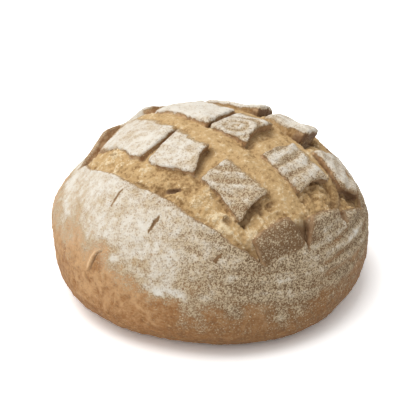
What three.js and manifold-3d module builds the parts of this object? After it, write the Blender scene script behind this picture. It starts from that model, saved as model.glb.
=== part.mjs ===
// A round spelt sourdough loaf, baked free-standing and scored with a crossed grid of cuts.
// The crust is one domed body. Four long scores have burst open along it, and shorter cross
// scores part each row of crust between them into plates. A plate lifts where the blade slid
// under it: along its foot, and most of all at its open end, which overhangs a hollow.
//
// Millimetres, +Z up, standing on Z = 0. +Y points away from the side with the low front score.
// Places on the crust are given on the crust laid flat round the crown: "along" runs the way the
// long scores do, towards the front right, and "across" runs the way the cross scores do.
import * as THREE from "three";
import { mergeVertices } from "three/addons/utils/BufferGeometryUtils.js";
import Module from "manifold-3d";

// The turned form of the loaf before its own unevenness
const BELLY_RADIUS = 115;
const BELLY_HEIGHT = 42;
const CROWN_RISE = 81;
const CROWN_FULLNESS = 1.92;
const BASE_RADIUS = 68;
const BASE_FULLNESS = 3.1;
const PROFILE_STEPS = 400;
const TURN_SEGMENTS = 60;
const BASE_STEPS = 8;
const CROWN_STEPS = 15;

// Unevenness of the hand-shaped dough: its plan is slightly oval and three-lobed, and it bulges or
// is slack round some bearings and heights, by out and up. Bearings and spreads are in degrees.
const OVAL_SHARE = 0.012;
const THREE_LOBE_SHARE = 0.008;
const BASE_HEIGHT = 9;
const SWELLINGS = [
  { bearing: 170, height: 84, spread: 26, reach: 16, out: -3.5, up: -3 },
  { bearing: 178, height: 58, spread: 20, reach: 14, out: 2, up: 0 },
  { bearing: 12, height: 80, spread: 24, reach: 22, out: -2.5, up: -3 },
  { bearing: -60, height: 20, spread: 30, reach: 16, out: 3.5, up: -6 },
  { bearing: -140, height: 22, spread: 25, reach: 14, out: 2, up: -2 },
  { bearing: 112, height: 114, spread: 32, reach: 12, out: 0, up: 2.8 },
];

// Scores and plates
const CLEAR_ABOVE = 14;
const LEAST_DEPTH = 0.4;
const TIP_REACH = 26;
const TIP_END = 12;
const SLOT_WIDTH = 3;
const HOLLOW_WIDTH = 7;
const CRUMB_HEIGHT = 1.3;
const CRUMB_PITCH = 19;
const FOOT_UNDERCUT = 2;
const PLATE_THICKNESS = 3.2;
const PLATE_CREST = 0.5;
const PLATE_ROOT = 9;
const FOOT_LIFT = 1.4;
const FOOT_REACH = 12;
const END_REACH = 20;
const EDGE_ROUNDING = 0.9;
const CORNER_SHARE = 0.4;
const CORNER_POWER = 6;
const CLIMB_SHARE = 0.75;
const FIRST_LIFT_SHARE = 0.35;
const PILLOW_EDGE = -0.1;
const PILLOW_HEAD = 0.3;
const PILLOW_START = 0.2;
const SETTLE_REACH = 22;
const SETTLE_DEPTH = 2.5;
const PLATE_CELLS = 6;
const EDGE_CLUSTER = 0.8;
const SCORE_STEPS = 24;
const SCORE_CELLS = 4;
const SLIT_DEPTH = 4;
const SLIT_STEPS = 6;
const PIT_SIDES = 8;

// The long scores, front to back: the lip on the near side and the lip on the far side, each as
// [along, across] stations joined by smooth steps. The crumb lies deepNear and deepFar below the
// crust along them, swells up between them, and lies deeper by tipDeep at the score's front end.
const LONG_SCORES = [
  {
    near: [[-80, -66], [-55, -75], [0, -77.5], [45, -74], [85, -66], [114, -56]],
    far: [[-80, -65], [-62, -56], [-46, -52.5], [-34, -54], [-25, -59], [5, -56.5], [36, -47],
      [96, -51.5], [114, -55]],
    deepNear: 1.6, deepFar: 2.6, swell: 0.9, crag: 1.5, tipDeep: 1.2,
  },
  {
    near: [[-88, -9], [-50, -15], [-12, -19], [10, -23], [38, -20], [78, -18], [106, -15.5],
      [127, -14]],
    far: [[-88, -8], [-45, 0], [-8, -3], [30, 0], [54, 4], [90, 4], [109, -3], [127, -13.5]],
    deepNear: 0.5, deepFar: 2.8, swell: 1.1, crag: 0.6, tipDeep: 3,
  },
  {
    near: [[-70, 38], [-20, 34], [15, 37], [50, 40], [90, 39], [111, 34.5], [123, 37]],
    far: [[-70, 39], [-25, 45], [20, 47], [54, 50], [95, 51], [111, 40], [123, 37.5]],
    deepNear: 0.6, deepFar: 3.8, swell: 1, crag: 0.7, tipDeep: 2,
  },
  {
    near: [[-58, 82], [0, 84], [60, 84], [104, 78]],
    far: [[-58, 83], [0, 97], [60, 97], [104, 79]],
    deepNear: 0.9, deepFar: 3, swell: 1.2, crag: 1.2, tipDeep: 0,
  },
];

// The cross scores of each row of plates, left to right, with the places of their left and right
// lips along the row at the row's foot and at its head. rise is how far the plate on the left
// lifts there at its foot, middle and head, bite how far its end is hollowed, toe how round its
// foot corner is and undercut how far the cut runs under it. pillow is how far the plate on the
// right swells, and heel and corner how round its foot and head corners are. slot is how deep a
// narrow cut is, and hollow and rest how deep a wide one is at its left and right.
const PLAIN_CUT = {
  rise: [0, 0, 0], bite: 0, toe: 3, undercut: 4.5, pillow: 0, heel: 2.5, corner: 2.5,
  slot: 3.6, hollow: 3.6, rest: 0.4, crag: 0.6,
};
const ROWS = [
  {
    start: [-106, -112],
    cuts: [
      { foot: [-71, -66], head: [-79, -74], rise: [2, 4.8, -0.5], slot: 1.6, undercut: 0.8 },
      { foot: [-13, -6.5], head: [-15.3, -12.2], rise: [0.8, 1, 0.6], undercut: 2, slot: 4.6 },
      { foot: [34.5, 37.5], head: [22, 38], rise: [0.9, 4, 3.6], bite: 3, toe: 9 },
      { foot: [82, 96], head: [78, 98], rise: [0.9, 3.8, 3.2], bite: 2.5, undercut: 3.5, pillow: 3,
        corner: 9, rest: 1.4, crag: 1.6 },
    ],
    finish: [123, 131],
  },
  {
    start: [-106, -100],
    cuts: [
      { foot: [-63, -58], head: [-68, -65], rise: [3.8, 0.3, -0.5], slot: 1.6, undercut: 0.8 },
      { foot: [0, 1.5], head: [-7.5, -2.5], rise: [1, 1.6, 1.2], undercut: 2, slot: 4.6 },
      { foot: [36, 48.5], head: [26, 46.5], rise: [1, 4.2, 3.6], bite: 3 },
      { foot: [89, 105.5], head: [86, 107.5], rise: [1, 3.8, 3.6], bite: 3.5, undercut: 3.5,
        pillow: 3, heel: 12, corner: 14, rest: 1.4, crag: 1.9 },
    ],
    finish: [132, 128],
  },
  {
    start: [-92, -84],
    cuts: [
      { foot: [-52, -48], head: [-56, -53], rise: [0.4, 0.4, 0], undercut: 0.8, pillow: 1 },
      { foot: [4, 11], head: [-12, -2], rise: [3.4, 3.4, 2.4], undercut: 0.6, pillow: 2.2,
        slot: 5, hollow: 5.5 },
      { foot: [46, 57], head: [34, 55], rise: [4.2, 5, 3.8], undercut: 0.6, pillow: 2.4, heel: 4,
        hollow: 6 },
      { foot: [95, 110], head: [99, 106], rise: [0.6, 1, 0.6], bite: 1, undercut: 2.5, pillow: 1.2,
        heel: 5, corner: 10, rest: 1.4, crag: 1.4 },
    ],
    finish: [130, 122],
  },
];

// Short slits where a cross score only nicked the crust, and a fold low on the left: middle along
// and across, length, width.
const SLITS = [
  { along: -6.5, across: -92, length: 14, width: 1.8 },
  { along: 35, across: -93.5, length: 14, width: 2.4 },
  { along: 88, across: -80, length: 10, width: 1.4 },
  { along: -3, across: -139, length: 20, width: 1.6 },
  { along: -10, across: 108, length: 14, width: 2.4 },
  { along: 36, across: 109, length: 15, width: 2.8 },
];

// Burst gas bubbles in the crumb of the front score: middle along and across, half length and half
// width, how deep they reach below the crust, and how far they are turned from along, in degrees.
const PITS = [
  { along: 29, across: -66.5, halfLength: 5.5, halfWidth: 2.2, depth: 5, turn: 40 },
  { along: 74.5, across: -56.5, halfLength: 3.4, halfWidth: 3, depth: 4, turn: 0 },
];

const { clamp, degToRad, lerp, radToDeg, smoothstep } = THREE.MathUtils;
const wasm = await Module();
wasm.setup();

// The loaf's half outline from the crown to the rim of the base, with the arc length so far.
function makeMeridian() {
  const points = [];
  for (let i = 0; i <= PROFILE_STEPS; i++) {
    const t = (Math.PI / 2) * (1 - i / PROFILE_STEPS);
    const radius = BELLY_RADIUS * Math.cos(t) ** (2 / CROWN_FULLNESS);
    const height = BELLY_HEIGHT + CROWN_RISE * Math.sin(t) ** (2 / CROWN_FULLNESS);
    points.push(new THREE.Vector2(i === 0 ? 0 : radius, height));
  }
  for (let i = 1; i <= PROFILE_STEPS; i++) {
    const t = ((Math.PI / 2) * i) / PROFILE_STEPS;
    const tuck = (BELLY_RADIUS - BASE_RADIUS) * Math.cos(t) ** (2 / BASE_FULLNESS);
    const drop = BELLY_HEIGHT * Math.sin(t) ** (2 / BASE_FULLNESS);
    points.push(new THREE.Vector2(BASE_RADIUS + tuck, BELLY_HEIGHT - drop));
  }
  const lengths = [0];
  for (let i = 1; i < points.length; i++) {
    lengths.push(lengths[i - 1] + points[i].distanceTo(points[i - 1]));
  }
  return { points, lengths };
}
const MERIDIAN = makeMeridian();

// The meridian's point at an arc length from the crown.
function meridianAt(length) {
  const { points, lengths } = MERIDIAN;
  const wanted = clamp(length, 0, lengths[lengths.length - 1]);
  let low = 0;
  let high = lengths.length - 1;
  while (high - low > 1) {
    const middle = (low + high) >> 1;
    if (lengths[middle] <= wanted) low = middle;
    else high = middle;
  }
  const share = (wanted - lengths[low]) / (lengths[high] - lengths[low]);
  return points[low].clone().lerp(points[high], share);
}

// The point of space at a place on the laid-flat crust, a height above it.
function crustPoint(along, across, height) {
  const right = (along + across) / Math.SQRT2;
  const back = (across - along) / Math.SQRT2;
  const length = Math.hypot(right, back);
  const bearing = Math.atan2(back, right);
  const at = meridianAt(length);
  const step = meridianAt(length + 0.5).sub(meridianAt(Math.max(length - 0.5, 0))).normalize();
  const radius = at.x - step.y * height;
  return new THREE.Vector3(
    radius * Math.cos(bearing),
    radius * Math.sin(bearing),
    at.y + step.x * height,
  );
}

// The value at a station of a list of [station, value] pairs, by smooth steps between them.
function smoothThrough(pairs, station) {
  const last = pairs.length - 1;
  if (station <= pairs[0][0]) return pairs[0][1];
  if (station >= pairs[last][0]) return pairs[last][1];
  const i = pairs.findIndex((pair) => pair[0] > station) - 1;
  return lerp(pairs[i][1], pairs[i + 1][1], smoothstep(station, pairs[i][0], pairs[i + 1][0]));
}

// A share from 0 to 1 moved towards the nearer end, so that cells crowd along the edges.
function crowdEdges(share) {
  return share - (EDGE_CLUSTER * Math.sin(2 * Math.PI * share)) / (2 * Math.PI);
}

// A closed geometry as a solid, its shared vertices merged and its collapsed faces dropped.
function solidOf(geometry) {
  const bare = geometry.clone();
  bare.deleteAttribute("normal");
  bare.deleteAttribute("uv");
  const merged = mergeVertices(bare, 1e-4);
  const index = merged.index.array;
  const triVerts = [];
  for (let i = 0; i < index.length; i += 3) {
    const [a, b, c] = [index[i], index[i + 1], index[i + 2]];
    if (a !== b && b !== c && c !== a) triVerts.push(a, b, c);
  }
  return new wasm.Manifold(
    new wasm.Mesh({
      numProp: 3,
      vertProperties: merged.getAttribute("position").array,
      triVerts: Uint32Array.from(triVerts),
    }),
  );
}

// A box of cells moulded over the crust. place takes shares along, across and up the box and
// gives [along, across, height] on the laid-flat crust.
function mouldedSolid(cellsAlong, cellsAcross, place) {
  const box = new THREE.BoxGeometry(1, 1, 1, cellsAlong, cellsAcross, 1);
  const position = box.getAttribute("position");
  for (let i = 0; i < position.count; i++) {
    const shares = [position.getX(i) + 0.5, position.getY(i) + 0.5, position.getZ(i) + 0.5];
    const point = crustPoint(...place(...shares));
    position.setXYZ(i, point.x, point.y, point.z);
  }
  return solidOf(box);
}

// The domed body before scoring.
function makeDome() {
  const rim = MERIDIAN.lengths[PROFILE_STEPS * 2];
  const belly = MERIDIAN.lengths[PROFILE_STEPS];
  const outline = [new THREE.Vector2(0, 0)];
  for (let i = BASE_STEPS; i > 0; i--) {
    outline.push(meridianAt(lerp(belly, rim, i / BASE_STEPS)));
  }
  for (let i = CROWN_STEPS; i > 0; i--) {
    outline.push(meridianAt((belly * i) / CROWN_STEPS));
  }
  outline.push(new THREE.Vector2(0, BELLY_HEIGHT + CROWN_RISE));
  const lathe = new THREE.LatheGeometry(outline, TURN_SEGMENTS);
  return solidOf(lathe.rotateX(Math.PI / 2));
}

// The height of the uneven crumb at a place on the crust: two crossed trains of waves.
function crumbAt(along, across) {
  const wave = (2 * Math.PI) / CRUMB_PITCH;
  const ripples = Math.sin(wave * along + 2 * Math.sin(0.6 * wave * across));
  const ridges = Math.sin(wave * (1.3 * across + 0.4 * along));
  return (CRUMB_HEIGHT * (ripples + ridges)) / 2;
}

// The trough of a long score. Its floor swells between the lips, and it runs a little way under
// the lifted foot of the next row.
function makeLongTrough({ near, far, deepNear, deepFar, swell, crag, tipDeep }) {
  const first = near[0][0];
  const last = near[near.length - 1][0];
  return mouldedSolid(SCORE_STEPS, SCORE_CELLS, (u, v, w) => {
    const along = lerp(first, last, u);
    const openness = Math.sin(Math.PI * u) ** 0.5;
    const nearLip = smoothThrough(near, along);
    const farLip = smoothThrough(far, along) + FOOT_UNDERCUT * openness;
    const across = lerp(nearLip, Math.max(farLip, nearLip + LEAST_DEPTH), v);
    const deep = deepNear * (1 - v) ** 2 + deepFar * v ** 2;
    const bloom = (swell + crag * crumbAt(along, across)) * Math.sin(Math.PI * v);
    const tip = tipDeep * openness * smoothstep(along, last - TIP_REACH, last - TIP_END);
    const floor = Math.min((bloom - deep) * openness - tip, 0) - LEAST_DEPTH;
    return [along, across, w > 0.5 ? CLEAR_ABOVE : floor];
  });
}

// The lips between which a row lies, as functions of the place along it.
function rowLips(row) {
  return {
    foot: (along) => smoothThrough(LONG_SCORES[row].far, along),
    head: (along) => smoothThrough(LONG_SCORES[row + 1].near, along),
  };
}

// The left lip of a cross score, a share of the way from the row's foot to its head.
function leftLip(cut, share) {
  const round = cut.toe * (1 - share) ** CORNER_POWER;
  const bitten = 4 * cut.bite * share * (1 - share);
  return lerp(cut.foot[0], cut.head[0], share) - bitten - CORNER_SHARE * round;
}

// The right lip of a cross score, a share of the way from the row's foot to its head.
function rightLip(cut, share) {
  const heel = cut.heel * (1 - share) ** CORNER_POWER;
  const corner = cut.corner * share ** CORNER_POWER;
  return lerp(cut.foot[1], cut.head[1], share) + CORNER_SHARE * (heel + corner);
}

// How far the plate left of a cross score lifts, a share of the way from its foot to its head.
function liftAt({ rise }, share) {
  const lower = lerp(rise[0], rise[1], smoothstep(share, 0, 0.5));
  return lower + (rise[2] - rise[1]) * smoothstep(share, 0.5, 1);
}

// The trough of one cross score between two plates of a row, run under the lifted end before it.
// It is deep under that end and climbs towards the next plate.
function makeCrossTrough(row, cut) {
  const { foot, head } = rowLips(row);
  return mouldedSolid(SCORE_CELLS, PLATE_CELLS, (u, v, w) => {
    const startsAt = leftLip(cut, v);
    const endsAt = rightLip(cut, v);
    const width = endsAt - startsAt;
    const along = lerp(startsAt - Math.min(cut.undercut, width), endsAt, u);
    const across = lerp(foot(along) - 1, head(along) + 1, v);
    const wide = smoothstep(width, SLOT_WIDTH, HOLLOW_WIDTH);
    const climb = smoothstep((along - startsAt) / width, 0, CLIMB_SHARE);
    const deep = lerp(cut.slot, lerp(cut.hollow, cut.rest, climb), wide);
    const bloom = cut.crag * crumbAt(along, across) * Math.sin(Math.PI * u);
    const floor = Math.min(bloom - deep, 0) - LEAST_DEPTH;
    return [along, across, w > 0.5 ? CLEAR_ABOVE : floor];
  });
}

// A plate of crust between two cross scores. It lifts along its foot and at its open end, and
// its underside runs down into the loaf away from those edges. The outermost plates of a row have
// no score on their outer side: they settle into the flank there.
function makePlate(row, opening, closing) {
  const { foot, head } = rowLips(row);
  return mouldedSolid(PLATE_CELLS, PLATE_CELLS, (u, v, w) => {
    const [i, j] = [crowdEdges(u), crowdEdges(v)];
    const startsAt = rightLip(opening, j);
    const endsAt = leftLip(closing, j);
    const along = lerp(startsAt, endsAt, i);
    const across = lerp(foot(along), head(along), j);
    const fromEnd = endsAt - along;
    const fromFoot = across - foot(along);
    const endLift = liftAt(closing, j) * (1 - smoothstep(fromEnd, 0, END_REACH));
    const footShare = lerp(FIRST_LIFT_SHARE, 1, i) * (1 - smoothstep(fromFoot, 0, FOOT_REACH));
    const onEdge = u === 0 || u === 1 || v === 0 || v === 1;
    const headShare = smoothstep(1 - j, PILLOW_EDGE, PILLOW_HEAD);
    const startShare = smoothstep(i, PILLOW_EDGE, PILLOW_START);
    const lift = endLift + FOOT_LIFT * footShare + opening.pillow * headShare * startShare;
    const crest = PLATE_CREST + lift - (onEdge ? EDGE_ROUNDING : 0);
    const fromStart = opening.settled ? along - startsAt : SETTLE_REACH;
    const fromFinish = closing.settled ? fromEnd : SETTLE_REACH;
    const free = smoothstep(Math.min(fromStart, fromFinish), 0, SETTLE_REACH);
    const top = lerp(-SETTLE_DEPTH, crest, free);
    if (w > 0.5) return [along, across, top];
    const inward = Math.min(fromEnd / closing.undercut, fromFoot / FOOT_UNDERCUT);
    return [along, across, top - PLATE_THICKNESS - PLATE_ROOT * clamp(inward, 0, 1)];
  });
}

// A short slit, pointed at both ends.
function makeSlit({ along, across, length, width }) {
  return mouldedSolid(2, SLIT_STEPS, (u, v, w) => {
    const half = Math.max((width / 2) * Math.sin(Math.PI * v), 0.15);
    const floor = -SLIT_DEPTH * Math.sin(Math.PI * v) - 0.3;
    return [along + half * (2 * u - 1), across + length * (v - 0.5), w > 0.5 ? CLEAR_ABOVE : floor];
  });
}

// A burst bubble: the lower half of an egg shape, open upwards.
function makePit({ along, across, halfLength, halfWidth, depth, turn }) {
  const egg = new THREE.SphereGeometry(1, PIT_SIDES, PIT_SIDES / 2);
  const position = egg.getAttribute("position");
  const [cosine, sine] = [Math.cos(degToRad(turn)), Math.sin(degToRad(turn))];
  for (let i = 0; i < position.count; i++) {
    const lengthwise = position.getX(i) * halfLength;
    const sideways = position.getY(i) * halfWidth;
    const up = position.getZ(i);
    const point = crustPoint(
      along + lengthwise * cosine - sideways * sine,
      across + lengthwise * sine + sideways * cosine,
      up > 0 ? up * CLEAR_ABOVE : up * depth,
    );
    position.setXYZ(i, point.x, point.y, point.z);
  }
  return solidOf(egg);
}

// The loaf's own unevenness: a slightly oval, three-lobed plan and its swellings.
function unevenPoint(x, y, z) {
  const bearing = Math.atan2(y, x);
  const radius = Math.max(Math.hypot(x, y), 1);
  const free = smoothstep(z, 0, BASE_HEIGHT);
  let wide = 1 + OVAL_SHARE * Math.cos(2 * bearing) + THREE_LOBE_SHARE * Math.cos(3 * bearing - 1);
  let lift = 0;
  for (const swelling of SWELLINGS) {
    const turn = bearing - degToRad(swelling.bearing);
    const turned = radToDeg(Math.atan2(Math.sin(turn), Math.cos(turn)));
    const away = (turned / swelling.spread) ** 2 + ((z - swelling.height) / swelling.reach) ** 2;
    const share = free * Math.exp(-away);
    wide += (swelling.out * share) / radius;
    lift += swelling.up * share;
  }
  return [x * wide, y * wide, z + lift];
}

function makeLoaf() {
  let loaf = makeDome();
  for (const score of LONG_SCORES) {
    loaf = loaf.subtract(makeLongTrough(score));
  }
  const rows = ROWS.map(({ start, cuts, finish }) => {
    const first = { ...PLAIN_CUT, foot: [0, start[0]], head: [0, start[1]], settled: true };
    const last = { ...PLAIN_CUT, foot: [finish[0], 0], head: [finish[1], 0], settled: true };
    return [first, ...cuts.map((cut) => ({ ...PLAIN_CUT, ...cut })), last];
  });
  rows.forEach((cuts, row) => {
    for (const cut of cuts.slice(1, -1)) {
      loaf = loaf.subtract(makeCrossTrough(row, cut));
    }
  });
  for (const slit of SLITS) {
    loaf = loaf.subtract(makeSlit(slit));
  }
  for (const pit of PITS) {
    loaf = loaf.subtract(makePit(pit));
  }
  rows.forEach((cuts, row) => {
    for (let i = 1; i < cuts.length; i++) {
      loaf = loaf.add(makePlate(row, cuts[i - 1], cuts[i]));
    }
  });
  return loaf;
}

// A solid's mesh as a geometry, made uneven, centred over the origin and stood on Z = 0.
function geometryOf(solid) {
  const { numVert, numProp, vertProperties, triVerts } = solid.getMesh();
  const positions = new Float32Array(numVert * 3);
  for (let i = 0; i < numVert; i++) {
    const [x, y, z] = vertProperties.subarray(i * numProp, i * numProp + 3);
    positions.set(unevenPoint(x, y, z), i * 3);
  }
  const geometry = new THREE.BufferGeometry();
  geometry.setAttribute("position", new THREE.BufferAttribute(positions, 3));
  geometry.setIndex(new THREE.BufferAttribute(triVerts, 1));
  geometry.computeBoundingBox();
  const { min, max } = geometry.boundingBox;
  geometry.translate(-(min.x + max.x) / 2, -(min.y + max.y) / 2, -min.z);
  geometry.computeVertexNormals();
  return geometry;
}

const crust = new THREE.MeshStandardMaterial({ color: 0xc9a57a, roughness: 0.85, metalness: 0 });
const loaf = new THREE.Mesh(geometryOf(makeLoaf()), crust);
loaf.name = "loaf";

const bread = new THREE.Group();
bread.add(loaf);

export default bread;
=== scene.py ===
"""Dresses a round spelt sourdough loaf: its scored crust, burst crumb, flour and the studio around it.

Crust places are given on the crust laid flat round the crown, in millimetres: "along" runs the way
the long scores do, towards the front right, "across" the way the cross scores do, and "above" is the
height over the unscored crust. Finished meshes are in metres, in the frame's own axes.
"""

from __future__ import annotations

import logging
import math
from collections.abc import Iterable, Iterator
from dataclasses import dataclass, field
from enum import Enum
from itertools import chain, product

import bpy
import numpy as np
import openvdb
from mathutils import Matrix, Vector


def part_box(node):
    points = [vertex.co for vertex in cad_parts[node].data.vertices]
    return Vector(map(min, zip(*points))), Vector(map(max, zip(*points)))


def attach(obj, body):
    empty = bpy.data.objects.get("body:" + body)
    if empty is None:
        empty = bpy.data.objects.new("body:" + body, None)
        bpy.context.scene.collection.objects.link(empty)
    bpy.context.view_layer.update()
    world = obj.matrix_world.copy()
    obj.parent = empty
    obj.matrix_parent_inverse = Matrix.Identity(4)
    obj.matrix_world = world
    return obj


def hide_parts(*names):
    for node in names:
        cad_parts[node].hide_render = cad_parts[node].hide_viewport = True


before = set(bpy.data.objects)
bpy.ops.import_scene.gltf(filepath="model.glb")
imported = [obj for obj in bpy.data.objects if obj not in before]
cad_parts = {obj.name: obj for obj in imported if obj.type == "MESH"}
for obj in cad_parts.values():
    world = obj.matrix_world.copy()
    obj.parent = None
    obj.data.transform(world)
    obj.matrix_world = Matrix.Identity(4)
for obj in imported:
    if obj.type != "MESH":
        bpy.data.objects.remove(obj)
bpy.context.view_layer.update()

Array = np.ndarray
Pair = tuple[float, float]
Stations = tuple[Pair, ...]
Colour = tuple[float, float, float]
Place = tuple[float, float, float]
Feeds = dict[str | int, object]
Material = bpy.types.Material
Socket = bpy.types.NodeSocket
Tree = bpy.types.NodeTree

MILLIMETRE = 0.001
ROOT_TWO = math.sqrt(2.0)
PHOTO_SIDE = 420.0
LOG = logging.getLogger("loaf")


class Mask(Enum):
    """The values at each point of the loaf's mesh that its finish reads."""

    FLOUR = "flour"
    CRUMB = "crumb"
    TEAR = "tear"
    # Painted shade in hollows, pits, creases and narrow score ends, partly the browner crust lining them.
    HOLLOW = "hollow"
    # The bare crust's bake together with painted shade, darker towards the bottom.
    BAKE = "bake"
    KNOB = "knob"
    DULL = "dull"
    HAZE = "haze"
    CLUMP = "clump"
    FLAKE = "flake"


def ease(value: Array, low: float, high: float) -> Array:
    """Gives each value's share, which rises smoothly from 0 at low to 1 at high."""
    share = np.clip((value - low) / (high - low), 0.0, 1.0)
    return share * share * (3.0 - 2.0 * share)


def between(start: Array | float, end: Array | float, share: Array | float) -> Array:
    """Gives the value a share of the way from start to end."""
    return start + (end - start) * share


def soft_min(first: Array, second: Array, reach: float) -> Array:
    """Takes the smaller of two values, with a round blend where they are closer than reach."""
    near = np.maximum(reach - np.abs(first - second), 0.0) / reach
    return np.minimum(first, second) - near * near * reach * 0.25


def soft_max(first: Array, second: Array, reach: float) -> Array:
    """Takes the larger of two values, with a round blend where they are closer than reach."""
    return -soft_min(-first, -second, reach)


def hump(value: Array, middle: float, width: float) -> Array:
    """Gives a smooth hump, 1 at its middle and almost 0 two widths away."""
    return np.exp(-((value - middle) / width) ** 2)


@dataclass(frozen=True)
class Ramp:
    """A share that rises smoothly from 0 at low to 1 at high."""

    low: float
    high: float

    def up(self, value: Array) -> Array:
        """Gives the share at each value."""
        return ease(value, self.low, self.high)

    def down(self, value: Array) -> Array:
        """Gives what the share leaves of 1 at each value."""
        return 1.0 - ease(value, self.low, self.high)


class Grain:
    """Seeded smooth noise from -1 to 1, on a repeating lattice of random values."""

    CELLS = 64
    STRAY = 0.4
    SMALLEST = 0.1
    LARGEST = 0.45
    LEAN = ((0.36, 0.48, -0.8), (-0.8, 0.6, 0.0), (0.48, 0.64, 0.6))

    def __init__(self, seed: int) -> None:
        """Draws the lattice, always the same for a seed."""
        draw = np.random.default_rng(seed)
        self._values = draw.uniform(-1.0, 1.0, (self.CELLS,) * 3).astype(np.float32)

    def flat(self, along: Array, across: Array, size: float) -> Array:
        """Gives noise over a surface, with lumps size wide."""
        return self._blend(self._values[0], (along, across), size)

    def solid(self, points: Array, size: float) -> Array:
        """Gives noise through space, with lumps size wide, at points given one to a row."""
        return self._blend(self._values, (points @ np.array(self.LEAN)).T, size)

    def relief(self, points: Array, lumps: Stations) -> Array:
        """Adds up noise through space, of several heights and sizes."""
        return sum(height * self.solid(points, size) for height, size in lumps)

    def bubbles(self, along: Array, across: Array, size: float) -> Array:
        """Gives round hollows scattered over a surface.

        Args:
            along: First coordinate of each place.
            across: Second coordinate of each place.
            size: Spacing of the hollows, in the coordinates' unit.

        Returns:
            One value for each place, 1 in the middle of a hollow and 0 outside.
        """
        u, v = along / size, across / size
        columns, rows = np.floor(u).astype(np.int32), np.floor(v).astype(np.int32)
        deepest = np.zeros(along.shape, np.float32)
        for step in range(9):
            column, row = columns + step // 3 - 1, rows + step % 3 - 1
            draw = [self._values[layer, column % self.CELLS, row % self.CELLS] for layer in range(1, 4)]
            off_column = u - column - 0.5 - self.STRAY * draw[0]
            off_row = v - row - 0.5 - self.STRAY * draw[1]
            wide = self.SMALLEST + (self.LARGEST - self.SMALLEST) * np.maximum(draw[2], 0.0)
            rim = ease(np.hypot(off_column, off_row) / wide, 0.4, 1.0)
            deepest = np.maximum(deepest, (wide / self.LARGEST) * (1.0 - rim))
        return deepest

    def _blend(self, values: Array, places: Iterable[Array], size: float) -> Array:
        """Blends the lattice's values round each place, axis by axis.

        Args:
            values: The lattice, with one axis for each coordinate.
            places: The coordinates, one array for each axis.
            size: Width of a cell, in the coordinates' unit.

        Returns:
            One value for each place.
        """
        sides, shares = [], []
        for place in places:
            scaled = place / size
            cell = np.floor(scaled)
            share = (scaled - cell).astype(np.float32)
            shares.append(share * share * (3.0 - 2.0 * share))
            cell = cell.astype(np.int32) % self.CELLS
            sides.append((cell, (cell + 1) % self.CELLS))
        corners = [values[pick[::-1]] for pick in product(*sides[::-1])]
        for share in shares:
            corners = [between(near, far, share) for near, far in zip(corners[::2], corners[1::2])]
        return corners[0]


GRAIN = Grain(21)
FINE_GRAIN = Grain(22)


@dataclass(frozen=True)
class Swelling:
    """A soft bulge of the dough, or a slack place, round one bearing and height.

    bearing and spread are in degrees, the rest in millimetres; out and up give how far it moves.
    """

    bearing: float
    height: float
    spread: float
    reach: float
    out: float
    up: float


SWELLINGS = (
    Swelling(bearing=170, height=84, spread=26, reach=16, out=-3.5, up=-3.0),
    Swelling(bearing=178, height=58, spread=20, reach=14, out=2.0, up=0.0),
    Swelling(bearing=12, height=80, spread=24, reach=22, out=-2.5, up=-3.0),
    Swelling(bearing=-60, height=20, spread=30, reach=16, out=3.5, up=-6.0),
    Swelling(bearing=-140, height=22, spread=25, reach=14, out=2.0, up=-2.0),
    Swelling(bearing=112, height=114, spread=32, reach=12, out=0.0, up=2.8),
)


@dataclass(frozen=True)
class LoafForm:
    """The turned form of the loaf and the unevenness of its hand-shaped dough, in millimetres."""

    belly_radius: float = 115.0
    belly_height: float = 42.0
    crown_rise: float = 81.0
    crown_fullness: float = 1.92
    base_radius: float = 68.0
    base_fullness: float = 3.1
    outline_steps: int = 400
    oval_share: float = 0.012
    lobe_share: float = 0.008
    lobe_turn: float = 1.0
    settle_height: float = 9.0
    plan_steps: int = 3600
    swellings: tuple[Swelling, ...] = SWELLINGS

    @property
    def height(self) -> float:
        """Height of the unscored crown."""
        return self.belly_height + self.crown_rise

    def outline(self) -> Array:
        """Gives the half outline from the crown to the rim of the base.

        Returns:
            Radius and height of each point, one to a row.
        """
        turn = np.linspace(0.0, math.pi / 2, self.outline_steps + 1)
        sine, cosine = np.sin(turn), np.maximum(np.cos(turn), 0.0)
        crown = np.column_stack((
            self.belly_radius * sine ** (2 / self.crown_fullness),
            self.belly_height + self.crown_rise * cosine ** (2 / self.crown_fullness),
        ))
        tuck = (self.belly_radius - self.base_radius) * cosine ** (2 / self.base_fullness)
        base = np.column_stack((
            self.base_radius + tuck,
            self.belly_height - self.belly_height * sine ** (2 / self.base_fullness),
        ))
        return np.concatenate((crown, base[1:]))

    def uneven(self, points: Array) -> Array:
        """Gives the loaf its slightly oval, three-lobed plan and its swellings.

        Args:
            points: Places on or near the even form, one to a row.

        Returns:
            The places moved.
        """
        x, y, z = points.T
        bearing = np.arctan2(y, x)
        wide = (
            1.0
            + self.oval_share * np.cos(2 * bearing)
            + self.lobe_share * np.cos(3 * bearing - self.lobe_turn)
        )
        radius = np.maximum(np.hypot(x, y), 1.0)
        free = ease(z, 0.0, self.settle_height)
        lift = np.zeros_like(z)
        for swelling in self.swellings:
            turn = bearing - math.radians(swelling.bearing)
            turn = np.degrees(np.arctan2(np.sin(turn), np.cos(turn)))
            near = (turn / swelling.spread) ** 2 + ((z - swelling.height) / swelling.reach) ** 2
            share = free * np.exp(-near)
            wide = wide + swelling.out * share / radius
            lift = lift + swelling.up * share
        return np.column_stack((x * wide, y * wide, z + lift))

    def plan_centre(self) -> Array:
        """Gives the middle of the box round the uneven belly.

        Returns:
            The place, on the surface that the loaf stands on.
        """
        bearing = np.linspace(0.0, 2 * math.pi, self.plan_steps + 1)
        ring = np.column_stack((np.cos(bearing), np.sin(bearing), np.zeros_like(bearing)))
        moved = self.uneven(ring * self.belly_radius)
        return (moved.min(axis=0) + moved.max(axis=0)) / 2 * (1.0, 1.0, 0.0)


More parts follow.
